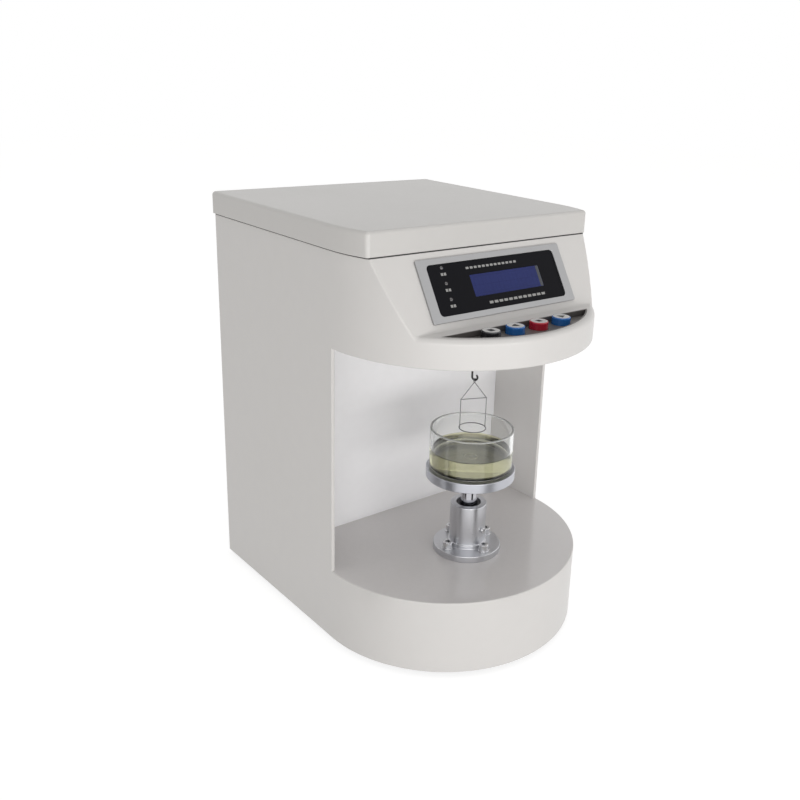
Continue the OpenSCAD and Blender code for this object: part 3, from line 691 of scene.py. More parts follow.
bezel_metal = grained_metal("bezel_metal", (0.40, 0.40, 0.405), 0.45, brush_marks, 0.000004)
bezel_size = (126, 42)
bezel_t = 1.6
foil_size = (111.5, 33.8)
foil_t = 0.8
foil_corner = 3.0
bezel = flat_plate(*bezel_size, bezel_t, 1.2)
cut(bezel, flat_plate(foil_size[0] + 0.2, foil_size[1] + 0.2, bezel_t + 2, foil_corner, z=-1))
softened(bezel, 0.35, segments=3, angle=40)
piece("display_frame", on_slope(bezel), "case", "bezel_metal", bezel_metal, stands_for=["display_bezel"])

foil_black = material(
    "foil_black", (0.007, 0.007, 0.009), 0.45, depth=0.2, size=30, spread=0.12, bumps=(1600, 0.8, 0.000004),
    Specular_IOR_Level=0.06,
)
window_size = (62, 15.1)
window_x = 8
foil = flat_plate(*foil_size, foil_t, foil_corner)
cut(foil, flat_plate(*window_size, foil_t + 2, 0.6, z=-1, x=window_x))
softened(foil, 0.12, segments=2, angle=40)
piece("display_foil_sheet", on_slope(foil), "case", "foil", foil_black, stands_for=["display_foil"])

# The window shows a bluish field with the faint cells of its characters, and a greyer strip at one end.
glass_blue, tree = bare_material("lcd_blue")
where = join(tree, "TexCoord").outputs["Object"]
flat = join(
    tree, "Mapping", {"vector_type": "TEXTURE"}, Vector=where, Location=slope_middle, Rotation=slope_turn
).outputs[0]
axes = join(tree, "SeparateXYZ", Vector=flat).outputs
cell_step = (0.0034, 0.0058)
edge = 0.08
lines = []
for axis, step in zip("XY", cell_step):
    phase = maths(tree, "DIVIDE", axes[axis], step)
    part = maths(tree, "PINGPONG", phase, 0.5)
    lines.append(join(tree, "MapRange", Value=part, From_Min=0.0, From_Max=edge).outputs[0])
cell = maths(tree, "MULTIPLY", lines[0], lines[1])
coat = place_group(
    tree, cloudy, Tone=(0.020, 0.028, 0.125, 1), Depth=0.25, Size=50.0, Roughness=0.12, Spread=0.05
)
lift = join(tree, "MapRange", Value=cell, To_Min=0.86, To_Max=1.0).outputs[0]
tone = join(tree, "HueSaturation", Value=lift, Color=coat["Tone"]).outputs[0]
shader = join(
    tree, "BsdfPrincipled", Base_Color=tone, Roughness=coat["Roughness"], Specular_IOR_Level=0.15
)
join(tree, "OutputMaterial", Surface=shader.outputs[0])
lcd_back = material("lcd_back", (0.02, 0.022, 0.028), 0.3, depth=0.2, size=90)
lcd_top = foil_t - 0.2
lcd = flat_plate(window_size[0] - 0.2, window_size[1] - 0.2, 5 + lcd_top, 0.5, z=-5, x=window_x)
softened(lcd, 0.15, segments=2, angle=40)
block = flat_plate(window_size[0] + 12, window_size[1] + 9, 3, 0.5, z=-8, x=window_x)
cut(lcd, block, operation="UNION")
for face in lcd.faces:
    face.material_index = 0 if face.normal.z > 0.5 and face.calc_center_median().z > 0 else 1
piece("lcd_window", on_slope(lcd), "case", "lcd", glass_blue, lcd_back, stands_for=["lcd_module"])
strip_x = window_x + window_size[0] / 2 - 1.6
strip = flat_plate(2.6, window_size[1] - 0.6, 0.12, 0.2, z=lcd_top - 0.06, x=strip_x)
lcd_strip = material("lcd_strip", (0.045, 0.05, 0.062), 0.25, depth=0.2, size=120)
piece("lcd_end_strip", on_slope(strip), "case", "lcd", lcd_strip)

# Plain bars stand where the panel carries its printing.
print_white = material(
    "print_white", (0.31, 0.31, 0.305), 0.6, depth=0.25, size=700, bumps=(2500, 0.5, 0.000003),
)
mark_low = foil_t - 0.05
mark_t = 0.08
marks = bmesh.new()


def add_to(whole, part):
    """Adds a bmesh to another one."""
    carrier = bpy.data.meshes.new("carrier")
    part.to_mesh(carrier)
    part.free()
    whole.from_mesh(carrier)
    bpy.data.meshes.remove(carrier)


for row_y, row_x, count, width, height in ((12.2, -2.0, 13, 2.4, 1.5), (-12.6, 12.0, 12, 3.2, 1.7)):
    for i in range(count):
        x = row_x + (i - (count - 1) / 2) * (width + 1.1)
        add_to(marks, flat_plate(width, height, mark_t, 0.3, z=mark_low, x=x, y=row_y))
lamp_x = -43.4
lamp_rise = 4.0
lamp_step = 10.6
for i in (-1, 0, 1):
    for side in (-1, 1):
        y = lamp_rise + i * lamp_step - 4.4
        add_to(marks, flat_plate(1.8, 1.8, mark_t, 0.2, z=mark_low, x=lamp_x + side * 1.2, y=y))
piece("panel_bars", on_slope(marks), "case", "foil", print_white)


def turned_solid(profile, steps=96, place=Matrix.Identity(4)):
    """Spins a closed outline, given as radius and height, about Z."""
    bm = bmesh.new()
    ring = [bm.verts.new((radius, 0, z)) for radius, z in profile]
    open_ends = profile[0][0] == 0 and profile[-1][0] == 0
    for a, b in zip(ring, ring[1:] if open_ends else ring[1:] + ring[:1]):
        bm.edges.new((a, b))
    bmesh.ops.spin(
        bm, geom=bm.verts[:] + bm.edges[:], cent=(0, 0, 0), axis=(0, 0, 1), dvec=(0, 0, 0),
        angle=2 * pi, steps=steps, use_merge=True,
    )
    bmesh.ops.remove_doubles(bm, verts=bm.verts, dist=0.0005)
    bmesh.ops.recalc_face_normals(bm, faces=bm.faces)
    return placed(bm, place)


def arc(centre_r, centre_z, radius, start, end, count=6):
    """Points of an arc in an outline, between two angles in degrees."""
    angles = [radians(start + (end - start) * i / count) for i in range(count + 1)]
    return [(centre_r + radius * cos(a), centre_z + radius * sin(a)) for a in angles]


lamp_lens = material(
    "lamp_lens", (0.065, 0.058, 0.060), 0.18, depth=0.2, size=900, Coat_Weight=0.6, Coat_Roughness=0.05,
    Subsurface_Weight=0.1,
)
lamps = bmesh.new()
for i in (-1, 0, 1):
    place = Matrix.Translation((lamp_x, lamp_rise + i * lamp_step, 0))
    add_to(lamps, turned_solid([(0, -8), (1.3, -8), (1.3, 0.7), *arc(0, -0.35, 1.67, 39, 90)], 32, place))
piece("indicator_lamps", on_slope(lamps), "case", "lamp_lens", lamp_lens, stands_for=["indicator_lights"])


# Buttons. Four round caps stand in a dark lens-shaped tray let into the ledge. Each cap is moulded in its
# colour, with a white disc on top that carries a plain dark mark.
field_floor = 1.0
field_rim = 0.8
field_t = field_top.z - field_low.z
field_plastic = material(
    "field_plastic", (0.135, 0.125, 0.120), 0.34, depth=0.12, size=60, bumps=(1100, 0.5, 0.00003),
)
tray = raised(lens_plan(0.15, field_low.z), field_t)
top = [face for face in tray.faces if face.normal.z > 0.9]
sunk_in(tray, top, field_rim, (0, 0, field_floor - field_t))
button_r = 6.3
button_pitch = 21
button_y = nose_tip + 24
holes = bmesh.new()
for i in range(4):
    place = Matrix.Translation(((i - 1.5) * button_pitch, button_y, field_low.z + field_floor / 2))
    add_rod(holes, button_r + 0.4, 3, place, 64)
cut(tray, holes)


def field_rounding(middle):
    """The tray's rim is eased, and its floor runs into its wall in a small radius."""
    if abs(middle.z - field_top.z) < 0.1:
        return 0.25
    return 0.6 if middle.z > field_low.z + 0.5 and abs(middle.y - button_y) > button_r + 0.5 else 0


round_edges(tray, field_rounding, 0.6, segments=3)
piece("button_tray", tray, "case", "field", field_plastic, stands_for=["button_field"])

disc_white = material(
    "disc_white", (0.74, 0.74, 0.73), 0.35, depth=0.05, size=300, bumps=(1500, 0.6, 0.00001),
)
disc_mark = material("disc_mark", (0.02, 0.02, 0.024), 0.4, depth=0.1, size=300)
cap_plastics = {
    "black_cap": material("cap_black", (0.022, 0.022, 0.026), 0.25, depth=0.2, size=120, Coat_Weight=0.3),
    "blue_cap": material("cap_blue", (0.018, 0.155, 0.50), 0.25, depth=0.1, size=120, Coat_Weight=0.3),
    "red_cap": material("cap_red", (0.50, 0.012, 0.035), 0.25, depth=0.1, size=120, Coat_Weight=0.3),
}
button_caps = ["black_cap", "blue_cap", "red_cap", "blue_cap"]
# corners of each cap's mark: a square, a triangle to the left, a small square, a triangle to the right
button_marks = [(4, 3.0, 45), (3, 3.4, 180), (4, 2.6, 45), (3, 3.4, 0)]
for number, (slot, (corners, reach, turn)) in enumerate(zip(button_caps, button_marks), start=1):
    low, high = [corner * 1000 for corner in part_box(f"button_{number}")]
    stem_r, lip_r, lip_t = 2.0, button_r + 1.2, 1.2
    lip_low = field_low.z - 0.3 - lip_t
    centre = Matrix.Translation(((low.x + high.x) / 2, button_y, 0))
    cap = turned_solid(
        [
            (0, low.z), (stem_r, low.z), (stem_r, lip_low), (lip_r, lip_low), (lip_r, lip_low + lip_t),
            (button_r, lip_low + lip_t), *arc(button_r - 0.7, high.z - 0.7, 0.7, 0, 90),
            (button_r - 0.9, high.z - 0.25), (0, high.z - 0.25),
        ],
        64, centre,
    )
    body = f"push_button_{number}"
    piece(f"cap_{number}", cap, body, slot, cap_plastics[slot], stands_for=[f"button_{number}"])
    disc = turned_solid(
        [(0, high.z - 0.6), (button_r - 0.55, high.z - 0.6), (button_r - 0.55, high.z - 0.08),
         (button_r - 0.8, high.z), (0, high.z - 0.12)],
        64, centre,
    )
    piece(f"cap_{number}_disc", disc, body, slot, disc_white)
    sign = bmesh.new()
    place = centre @ Matrix.Translation((0, 0, high.z - 0.1)) @ Matrix.Rotation(radians(turn - 90), 4, "Z")
    add_rod(sign, reach, 0.14, place, corners)
    piece(f"cap_{number}_mark", sign, body, slot, disc_mark)


# Lift guide. A turned aluminium sleeve with a wide foot flange and a low step, bolted through the deck with
# four socket screws. A small screw in its side keeps the shaft from turning.
sleeve_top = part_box("guide_sleeve")[1] * 1000
flange_r = sleeve_top.x
flange_t = 4.8
sleeve_r = 13.3
bush_r = 9.0
step_r = sleeve_r + 1
step_h = 3
sleeve_h = sleeve_top.z - deck_z
on_axis = Matrix.Translation((0, axis_y, 0))
on_deck = Matrix.Translation((0, axis_y, deck_z))

# Lathe marks: fine rings left by the tool round a turned piece's axis
lathe, given, put_out = group(
    "lathe",
    {"Axis": ("vector", (0, axis_y * 0.001, 0)), "Pitch": ("value", 3500.0)},
    {"Height": "value"},
)
where = join(lathe, "TexCoord").outputs["Object"]
off_axis = join(lathe, "VectorMath", {"operation": "SUBTRACT"}, i0=where, i1=given["Axis"]).outputs[0]
axes = join(lathe, "SeparateXYZ", Vector=off_axis).outputs
flat = join(lathe, "CombineXYZ", X=axes["X"], Y=axes["Y"]).outputs[0]
reach = join(lathe, "VectorMath", {"operation": "LENGTH"}, i0=flat).outputs["Value"]
bearing = join(lathe, "VectorMath", {"operation": "NORMALIZE"}, i0=flat).outputs[0]
round_part = join(lathe, "VectorMath", {"operation": "SCALE"}, i0=bearing, Scale=0.35).outputs[0]
far = maths(lathe, "ADD", reach, axes["Z"])
steps_out = maths(lathe, "MULTIPLY", far, given["Pitch"])
ringed = join(lathe, "CombineXYZ", Z=steps_out).outputs[0]
spot = join(lathe, "VectorMath", {"operation": "ADD"}, i0=round_part, i1=ringed).outputs[0]
rings = join(lathe, "TexNoise", Vector=spot, Scale=1.0, Detail=2.0).outputs[0]
lathe.links.new(rings, put_out["Height"])


def lathe_marks(pitch):
    """Marks for grained_metal on a piece turned about the lift's axis."""
    return lambda tree: place_group(tree, lathe, Pitch=pitch)["Height"]


turned_aluminium = grained_metal(
    "turned_aluminium", (0.60, 0.605, 0.63), 0.30, lathe_marks(3200.0), 0.0000012, spread=0.08,
)
sleeve = turned_solid(
    [(bush_r, 0), (flange_r, 0), (flange_r, flange_t), (step_r, flange_t), (step_r, flange_t + step_h),
     (sleeve_r, flange_t + step_h), (sleeve_r, sleeve_h), (bush_r, sleeve_h)],
    128,
)
softened(sleeve, 0.45, segments=3, angle=40)
placed(sleeve, on_deck)
piece("lift_sleeve", sleeve, "case", "turned_aluminium", turned_aluminium, stands_for=["guide_sleeve"])


def socket_screw(head_r, head_h, socket_r, shank_r, shank_l, washer=(0, 0), edge=0.6):
    """A socket screw with a knurled head and a hexagonal socket, standing on z = 0, and its shank."""
    washer_r, washer_h = washer
    foot = washer_h
    outline = [(0, -shank_l), (shank_r - 0.2, -shank_l), (shank_r, -shank_l + 0.2), (shank_r, 0)]
    if washer_r:
        outline += [(washer_r - 0.15, 0), (washer_r, 0.15)]
        outline += [(washer_r, washer_h - 0.15), (washer_r - 0.15, washer_h)]
    outline += [(head_r - 0.2, foot), (head_r, foot + 0.2)]
    outline += arc(head_r - edge, foot + head_h - edge, edge, 0, 90)
    outline += [(socket_r + 0.2, foot + head_h), (0, foot + head_h)]
    bm = turned_solid(outline, 48)
    low, high = foot + 0.3, foot + head_h - edge + 0.01
    for vert in bm.verts:
        side = abs(hypot(vert.co.x, vert.co.y) - head_r) < 0.01 and low - 0.2 < vert.co.z < high
        number = round(48 * (1 + Vector((vert.co.x, vert.co.y)).angle_signed(Vector((1, 0)), 0) / (2 * pi)))
        if side and number % 2:
            vert.co.xy *= 0.965
    hexagon = bmesh.new()
    depth = head_h * 0.5
    place = Matrix.Translation((0, 0, foot + head_h - depth / 2 + 0.5))
    add_rod(hexagon, socket_r, depth + 1, place, 6)
    return cut(bm, hexagon)


bright_steel = material(
    "bright_steel", (0.66, 0.66, 0.67), 0.16, metallic=1.0, depth=0.08, size=300, spread=0.12,
    bumps=(2400, 0.6, 0.000003),
)
flange_screws = bmesh.new()
screw_circle = 18.5
for i in range(4):
    screw = socket_screw(3.5, 4.6, 1.9, 1.95, 12, washer=(4.0, 0.8))
    place = on_deck @ Matrix.Rotation(i * pi / 2, 4, "Z") @ Matrix.Translation((screw_circle, 0, flange_t))
    add_to(flange_screws, placed(screw, place))
piece("flange_bolts", flange_screws, "case", "bright_steel", bright_steel, stands_for=["flange_screws"])
key_screw = socket_screw(2.1, 2.0, 1.1, 1.45, 3.6, edge=0.4)
place = (
    Matrix.Translation((0, axis_y, deck_z + 18.7))
    @ Matrix.Rotation(radians(-80), 4, "Z")
    @ Matrix.Rotation(pi / 2, 4, "Y")
    @ Matrix.Translation((0, 0, sleeve_r + 0.1))
)
placed(key_screw, place)
piece("key_bolt", key_screw, "case", "bright_steel", bright_steel, stands_for=["key_screw"])

bush_black = material(
    "bush_black", (0.028, 0.028, 0.032), 0.42, depth=0.2, size=200, bumps=(1800, 0.5, 0.00001),
)
shaft_r = 6.0
bush = turned_solid(
    [(shaft_r + 0.05, bush_low.z), (bush_r - 0.02, bush_low.z), (bush_r - 0.02, bush_top.z - 0.4),
     (bush_r - 0.4, bush_top.z), (shaft_r + 1.4, bush_top.z), (shaft_r + 0.9, bush_top.z - 0.5),
     (shaft_r + 0.05, bush_top.z - 1.2)],
    96, on_axis,
)
piece("shaft_bush", bush, "case", "bush_black", bush_black, stands_for=["guide_bush"])


# Lift shaft and tray. A ground and chromed shaft rises through the sleeve and carries a turned aluminium
# tray, which is held by a screw from above.
shaft_low, shaft_top = [corner * 1000 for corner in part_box("lift_shaft")]
chrome = grained_metal("chrome", (0.50, 0.50, 0.53), 0.07, lathe_marks(5200.0), 0.0000006, spread=0.05)
shaft = turned_solid(
    [(4, shaft_low.z), (shaft_r - 0.6, shaft_low.z), (shaft_r, shaft_low.z + 0.6), (shaft_r, shaft_top.z),
     (2.5, shaft_top.z), (2.5, shaft_top.z - 12), (0, shaft_top.z - 12), (0, shaft_low.z + 14),
     (4, shaft_low.z + 14)],
    96, on_axis,
)
piece("chromed_shaft", shaft, "lift_table", "bright_steel", chrome, stands_for=["lift_shaft"])

tray_low, tray_top = [corner * 1000 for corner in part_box("sample_tray")]
tray_r = tray_top.x
tray_t = tray_top.z - tray_low.z
tray = turned_solid(
    [(2.5, 0), (tray_r, 0), (tray_r, tray_t), (5, tray_t), (5, tray_t - 2.5), (2.5, tray_t - 2.5)],
    160,
)
softened(tray, 0.5, segments=3, angle=40)
placed(tray, on_axis @ Matrix.Translation((0, 0, tray_low.z)))
tray_metal = grained_metal(
    "tray_metal", (0.50, 0.51, 0.55), 0.34, lathe_marks(2600.0), 0.0000015, spread=0.1,
)
piece("turned_tray", tray, "lift_table", "turned_aluminium", tray_metal, stands_for=["sample_tray"])
tray_bolt = socket_screw(4.9, 2.3, 2.0, 2.5, 14, edge=0.3)
placed(tray_bolt, on_axis @ Matrix.Translation((0, 0, tray_top.z - 2.5)))
piece("tray_bolt", tray_bolt, "lift_table", "bright_steel", bright_steel, stands_for=["tray_screw"])


# Dish. A blown weighing dish of clear glass with a fire-polished rim and a rounded foot. The rim's top is a
# painted highlight: a whiter, less clear glass. It is filled to two fifths with a pale yellow liquid that
# climbs a little up its wall.
dish_low, dish_top = [corner * 1000 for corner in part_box("glass_dish")]
dish_r = dish_top.x
glass_t = 1.8
dish_h = dish_top.z - dish_low.z
inner_r = dish_r - glass_t
foot_round = 2.6
heel_round = 2.0
dish = turned_solid(
    [
        (0, 0.35), (dish_r - foot_round - 3.5, 0.35), (dish_r - foot_round - 2.5, 0),
        *arc(dish_r - foot_round, foot_round, foot_round, -90, 0, 10),
        *arc(dish_r - glass_t / 2, dish_h - glass_t / 2, glass_t / 2, 0, 180, 12),
        *arc(inner_r - heel_round, glass_t + heel_round, heel_round, 0, -90, 10), (0, glass_t),
    ],
    160, on_axis @ Matrix.Translation((0, 0, dish_low.z)),
)
glass, tree = bare_material("clear_glass")
melt = place_group(
    tree, cloudy, Tone=(0.975, 0.985, 0.98, 1), Depth=0.01, Size=30.0, Roughness=0.01, Spread=0.01
)
ripple = place_group(tree, pebbled, Size=70.0, Waves=0.8)
bump = join(tree, "Bump", Strength=1.0, Distance=0.00002, Height=ripple["Height"])
shader = join(
    tree, "BsdfPrincipled", Base_Color=melt["Tone"], Roughness=melt["Roughness"], IOR=1.5,
    Transmission_Weight=1.0, Normal=bump.outputs[0],
)
join(tree, "OutputMaterial", Surface=shader.outputs[0])
# The rim's top is a whiter, less clear glass: a painted highlight along the rim.
rim_painted_highlight_glass = material(
    "rim_painted_highlight_glass", (0.93, 0.95, 0.94), 0.10, depth=0.04, size=90, spread=0.05, bumps=(260, 0.6, 0.00001),
    Transmission_Weight=0.62, IOR=1.5,
)
# Faces at the top of the rim take the painted highlight.
for face in dish.faces:
    face.material_index = 1 if face.calc_center_median().z > dish_top.z - 0.62 * glass_t else 0
piece("weighing_dish", dish, "lift_table", "glass", glass, rim_painted_highlight_glass, stands_for=["glass_dish"], smooth=50)

liquid_low, liquid_top = [corner * 1000 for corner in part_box("sample_liquid")]
liquid_h = liquid_top.z - liquid_low.z
into_glass = 0.12
climb = 1.1
liquid_r = inner_r + into_glass
liquid = turned_solid(
    [
        (0, -into_glass), (inner_r - heel_round, -into_glass),
        *arc(inner_r - heel_round, heel_round, heel_round + into_glass, -90, 0, 10),
        (liquid_r, liquid_h + climb), (inner_r - 0.15, liquid_h + climb - 0.15),
        (inner_r - 0.5, liquid_h + 0.45), (inner_r - 1.1, liquid_h + 0.15), (inner_r - 2.2, liquid_h),
        (0, liquid_h),
    ],
    160, on_axis @ Matrix.Translation((0, 0, liquid_low.z)),
)
sample, tree = bare_material("sample")
mix = place_group(
    tree, cloudy, Tone=(0.965, 0.945, 0.70, 1), Depth=0.02, Size=60.0, Roughness=0.01, Spread=0.01
)
shader = join(
    tree, "BsdfPrincipled", Base_Color=mix["Tone"], Roughness=mix["Roughness"], IOR=1.33,
    Transmission_Weight=1.0,
)
join(tree, "OutputMaterial", Surface=shader.outputs[0])
piece("sample_in_dish", liquid, "lift_table", "liquid", sample, stands_for=["sample_liquid"], smooth=50)


# Hook and ring. A blackened rod comes down from the balance and ends in a bent wire. The measuring ring of
# fine wire hangs from it on a soldered stirrup.
def rounded_wire(bm, start, end, radius, segments=14):
    """A straight wire between two points."""
    start, end = Vector(start), Vector(end)
    along = end - start
    place = Matrix.Translation((start + end) / 2) @ along.to_track_quat("Z", "Y").to_matrix().to_4x4()
    add_rod(bm, radius, along.length, place, segments)


def bead(bm, centre, radius):
    """A drop of solder."""
    bmesh.ops.create_uvsphere(
        bm, u_segments=16, v_segments=12, radius=radius, matrix=Matrix.Translation(centre)
    )


def hoop(radius, wire_r, place, steps=96):
    """A closed ring of wire, flat before it is placed."""
    bm = bmesh.new()
    upright = Matrix.Translation((radius, 0, 0)) @ Matrix.Rotation(pi / 2, 4, "X")
    bmesh.ops.create_circle(bm, segments=14, radius=wire_r, matrix=upright)
    bmesh.ops.spin(
        bm, geom=bm.verts[:] + bm.edges[:], cent=(0, 0, 0), axis=(0, 0, 1), dvec=(0, 0, 0), angle=2 * pi,
        steps=steps, use_merge=True,
    )
    bmesh.ops.remove_doubles(bm, verts=bm.verts, dist=0.0005)
    bmesh.ops.recalc_face_normals(bm, faces=bm.faces)
    return placed(bm, place)


hook_low, hook_top = [corner * 1000 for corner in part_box("hook_rod")]
hook_turn = radians(-70)
wire_r = 0.7
bend_r = 2.1
bend_z = hook_low.z + wire_r + bend_r
rod_r = 2.0
rod_z = head_z - 9
hook_place = on_axis @ Matrix.Rotation(hook_turn, 4, "Z")
wire = bmesh.new()
bmesh.ops.create_circle(
    wire, cap_ends=True, segments=24, radius=wire_r, matrix=Matrix.Translation((-bend_r, 0, rod_z + 2))
)
down = drawn_out(wire, wire.faces[:], (0, 0, bend_z - rod_z - 2))
bmesh.ops.spin(
    wire, geom=[item for item in down if isinstance(item, bmesh.types.BMFace)], cent=(0, 0, bend_z),
    axis=(0, -1, 0), dvec=(0, 0, 0), angle=radians(220), steps=32,
)
bmesh.ops.recalc_face_normals(wire, faces=wire.faces)
rod = turned_solid(
    [(0, rod_z), (rod_r - 0.5, rod_z), (rod_r, rod_z + 0.5), (rod_r, hook_top.z - 0.4),
     (rod_r - 0.4, hook_top.z), (0, hook_top.z)],
    48,
)
add_to(wire, rod)
rounded_wire(wire, (-bend_r, 0, rod_z + 1), (0, 0, rod_z + 1), wire_r, 24)
bead(wire, (-bend_r, 0, rod_z + 1.9), wire_r * 1.02)
tip = Vector((bend_r * cos(radians(40)), 0, bend_z + bend_r * sin(radians(40))))
bead(wire, tip, wire_r)
placed(wire, hook_place)
dark_wire = material(
    "dark_wire", (0.035, 0.034, 0.034), 0.34, metallic=0.7, depth=0.2, size=300, bumps=(1500, 0.6, 0.00001),
)
piece("balance_hook", wire, "balance", "dark_wire", dark_wire, stands_for=["hook_rod"])

ring_low, ring_top = [corner * 1000 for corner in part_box("measuring_ring")]
ring_wire_r = 0.35
leg_r = 0.3
ring_r = 9.55
ring_z = ring_low.z + ring_wire_r
bar_z = ring_z + 22
eye_r = 1.35
eye_z = ring_top.z - eye_r - leg_r
ring_place = on_axis @ Matrix.Rotation(radians(-22), 4, "Z")
stirrup = hoop(ring_r, ring_wire_r, Matrix.Translation((0, 0, ring_z)))
foot = (0, 0, eye_z - eye_r)
for side in (-1, 1):
    corner = (side * ring_r, 0, bar_z)
    rounded_wire(stirrup, (side * ring_r, 0, ring_z), corner, leg_r)
    rounded_wire(stirrup, corner, foot, leg_r)
    bead(stirrup, corner, leg_r * 1.5)
    bead(stirrup, (side * ring_r, 0, ring_z), ring_wire_r * 1.35)
rounded_wire(stirrup, (-ring_r, 0, bar_z), (ring_r, 0, bar_z), leg_r)
bead(stirrup, foot, leg_r * 1.5)
placed(stirrup, ring_place)
eye_place = hook_place @ Matrix.Translation((0, 0, eye_z)) @ Matrix.Rotation(pi / 2, 4, "Y")
add_to(stirrup, hoop(eye_r, leg_r, eye_place, 40))
ring_wire = material(
    "ring_wire", (0.20, 0.20, 0.205), 0.30, metallic=1.0, depth=0.12, size=400, bumps=(2600, 0.5, 0.000004),
)
piece("ring_and_stirrup", stirrup, "ring", "ring_wire", ring_wire, stands_for=["measuring_ring"])


# Rear service plate. A flat sheet screwed over the rear opening, punched for the sockets and with two
# columns of vents above the boards. It is coated like the case, only rougher.
plate_low, plate_top = [corner * 1000 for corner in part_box("service_plate")]
sockets_z = 45.5
inlet_x, switch_x, fuse_x, data_x = 42, 5, -20, -50


def rear_place(x, z):
    """The axes of a piece at the rear: X across, Y up and Z out of the plate."""
    place = Matrix.Translation((x, plate_top.y, z))
    return place @ Matrix.Rotation(pi, 4, "Z") @ Matrix.Rotation(pi / 2, 4, "X")


def at_rear(bm, x, z=sockets_z):
    """Moves a piece from the plate's own axes to its place."""
    return placed(bm, rear_place(x, z))


rear_paint = material(
    "rear_paint", (0.60, 0.59, 0.575), 0.46, depth=0.05, size=16, spread=0.12, bumps=(620, 1.0, 0.00002),
)
vent_size = (46, 3.2)
vent_x, vent_low, vent_pitch = 32, 121, 9
sheet = brick(plate_low, plate_top)
holes = bmesh.new()
punched = ((inlet_x, 27.6, 19.6), (switch_x, 13.2, 19.2), (fuse_x, 12.4, 12.4), (data_x, 16.4, 8.8))
for x, width, height in punched:
    add_to(holes, at_rear(flat_plate(width, height, 4, 0.6, z=-3), x))
for side in (-1, 1):
    for i in range(9):
        vent = flat_plate(*vent_size, 4, 1.55, z=-3)
        add_to(holes, at_rear(vent, side * vent_x, vent_low + vent_pitch * i))
cut(sheet, holes)
softened(sheet, 0.25, segments=2, angle=40)
piece("rear_sheet", sheet, "case", "rear_paint", rear_paint, stands_for=["service_plate"])


# Cross-head screws. Zinc-plated pan heads hold the service plate, and two more hold the lid.
# Each head has a shallow dome and a cross recess.
zinc = material(
    "zinc", (0.55, 0.56, 0.58), 0.24, metallic=1.0, depth=0.12, size=500, spread=0.15,
    bumps=(2200, 0.7, 0.000004),
)


def cross_screw():
    """A pan-head screw that stands on z = 0, with its shank below."""
    dome = [(2.75 * cos(radians(a)), 0.5 + 1.1 * sin(radians(a))) for a in range(0, 91, 15)]
    bm = turned_solid([(0, -5), (1.3, -5), (1.5, -4.7), (1.5, 0), (2.75, 0), *dome[:-1], (0, 1.6)], 32)
    return cut(bm, brick((-1.6, -0.3, 0.7), (1.6, 0.3, 3)), brick((-0.3, -1.6, 0.7), (0.3, 1.6, 3)))


plate_screw_x, lid_screw_x = 71, 70
plate_screw_rows = (30, 126, 222)
one_screw = cross_screw()
plate_screws, lid_screws = bmesh.new(), bmesh.new()
for side in (-1, 1):
    for z in plate_screw_rows:
        add_to(plate_screws, at_rear(one_screw.copy(), side * plate_screw_x, z))
    add_to(lid_screws, at_rear(one_screw.copy(), side * lid_screw_x, (lid_low.z + lid_top.z) / 2))
one_screw.free()
piece("plate_screws", plate_screws, "case", "zinc_sheet", zinc, stands_for=["service_screws"])
piece("lid_bolts", lid_screws, "case", "zinc_sheet", zinc, stands_for=["lid_screws"])


# Mains inlet and fuse. A moulded appliance inlet with three pins in its recess, held by its flange's two
# screws, and beside it a fuse holder with a slotted bayonet cap.
moulded_black = material(
    "moulded_black", (0.022, 0.022, 0.024), 0.40, depth=0.2, size=160, spread=0.15,
    bumps=(1300, 0.6, 0.00002),
)
inlet = flat_plate(50, 24, 2.2, 3)
cut(inlet, flat_plate(27.2, 19.2, 27, 1.2, z=-26), operation="UNION")
well = flat_plate(23, 16, 20, 0.05, z=-15)
under = [vert for vert in well.verts if vert.co.y > 7]
bmesh.ops.scale(well, vec=(0.72, 1, 1), verts=under)
cut(inlet, well)
softened(inlet, 0.4, segments=3, angle=40)
at_rear(inlet, inlet_x)
piece("mains_socket", inlet, "case", "switch_black", moulded_black, stands_for=["mains_inlet"])
pins = bmesh.new()
for x, y in ((-7, -1.4), (0, 3.2), (7, -1.4)):
    pin = softened(brick((x - 1, y - 2, -15.2), (x + 1, y + 2, -2)), 0.5, segments=3, angle=40)
    add_to(pins, pin)
for x in (-20, 20):
    outline = [(0, 2), (2.5, 2), (2.5, 2.9), *arc(1.6, 2.7, 0.9, 10, 90, 3), (0, 3.6)]
    add_to(pins, turned_solid(outline, 32, Matrix.Translation((x, 0, 0))))
piece("mains_pins", at_rear(pins, inlet_x), "case", "switch_black", zinc)
fuse = turned_solid(
    [(0, -24), (5.6, -24), (6, -23.6), (6, 0), (8, 0), (8, 1.2), (7.7, 1.5), (6.25, 1.5), (6.25, 4.1),
     *arc(5.85, 4.1, 0.4, 0, 90, 4), (0, 4.5)],
    64,
)
cut(fuse, brick((-4.4, -0.6, 3.2), (4.4, 0.6, 6)))
piece("fuse_cap", at_rear(fuse, fuse_x), "case", "switch_black", moulded_black, stands_for=["fuse_holder"])


# Mains switch. A black snap-in frame and a red rocker that tips about a pin in its middle.
# The rocker's ends are raised, so that its waist shows which side is down.
frame_part = flat_plate(15, 21, 2, 1.0)
cut(frame_part, flat_plate(12.8, 18.8, 16, 0.4, z=-15.5), operation="UNION")
cut(frame_part, brick((-5.4, -8.6, -5), (5.4, 8.6, 4)))
softened(frame_part, 0.35, segments=3, angle=40)
piece("switch_surround", at_rear(frame_part, switch_x), "case", "switch_black", moulded_black,
      stands_for=["switch_frame"])
rocker_red = material(
    "rocker_red", (0.42, 0.010, 0.014), 0.22, depth=0.15, size=150, bumps=(900, 0.5, 0.00001),
    Coat_Weight=0.4, Coat_Roughness=0.08,
)
rocker = side_prism(
    [(-7.3, -1), (7.3, -1), (7.3, 4.8), (4.2, 3.75), (0, 3.4), (-4.2, 3.75), (-7.3, 4.8)], 5
)
softened(rocker, 0.5, segments=3, angle=25)
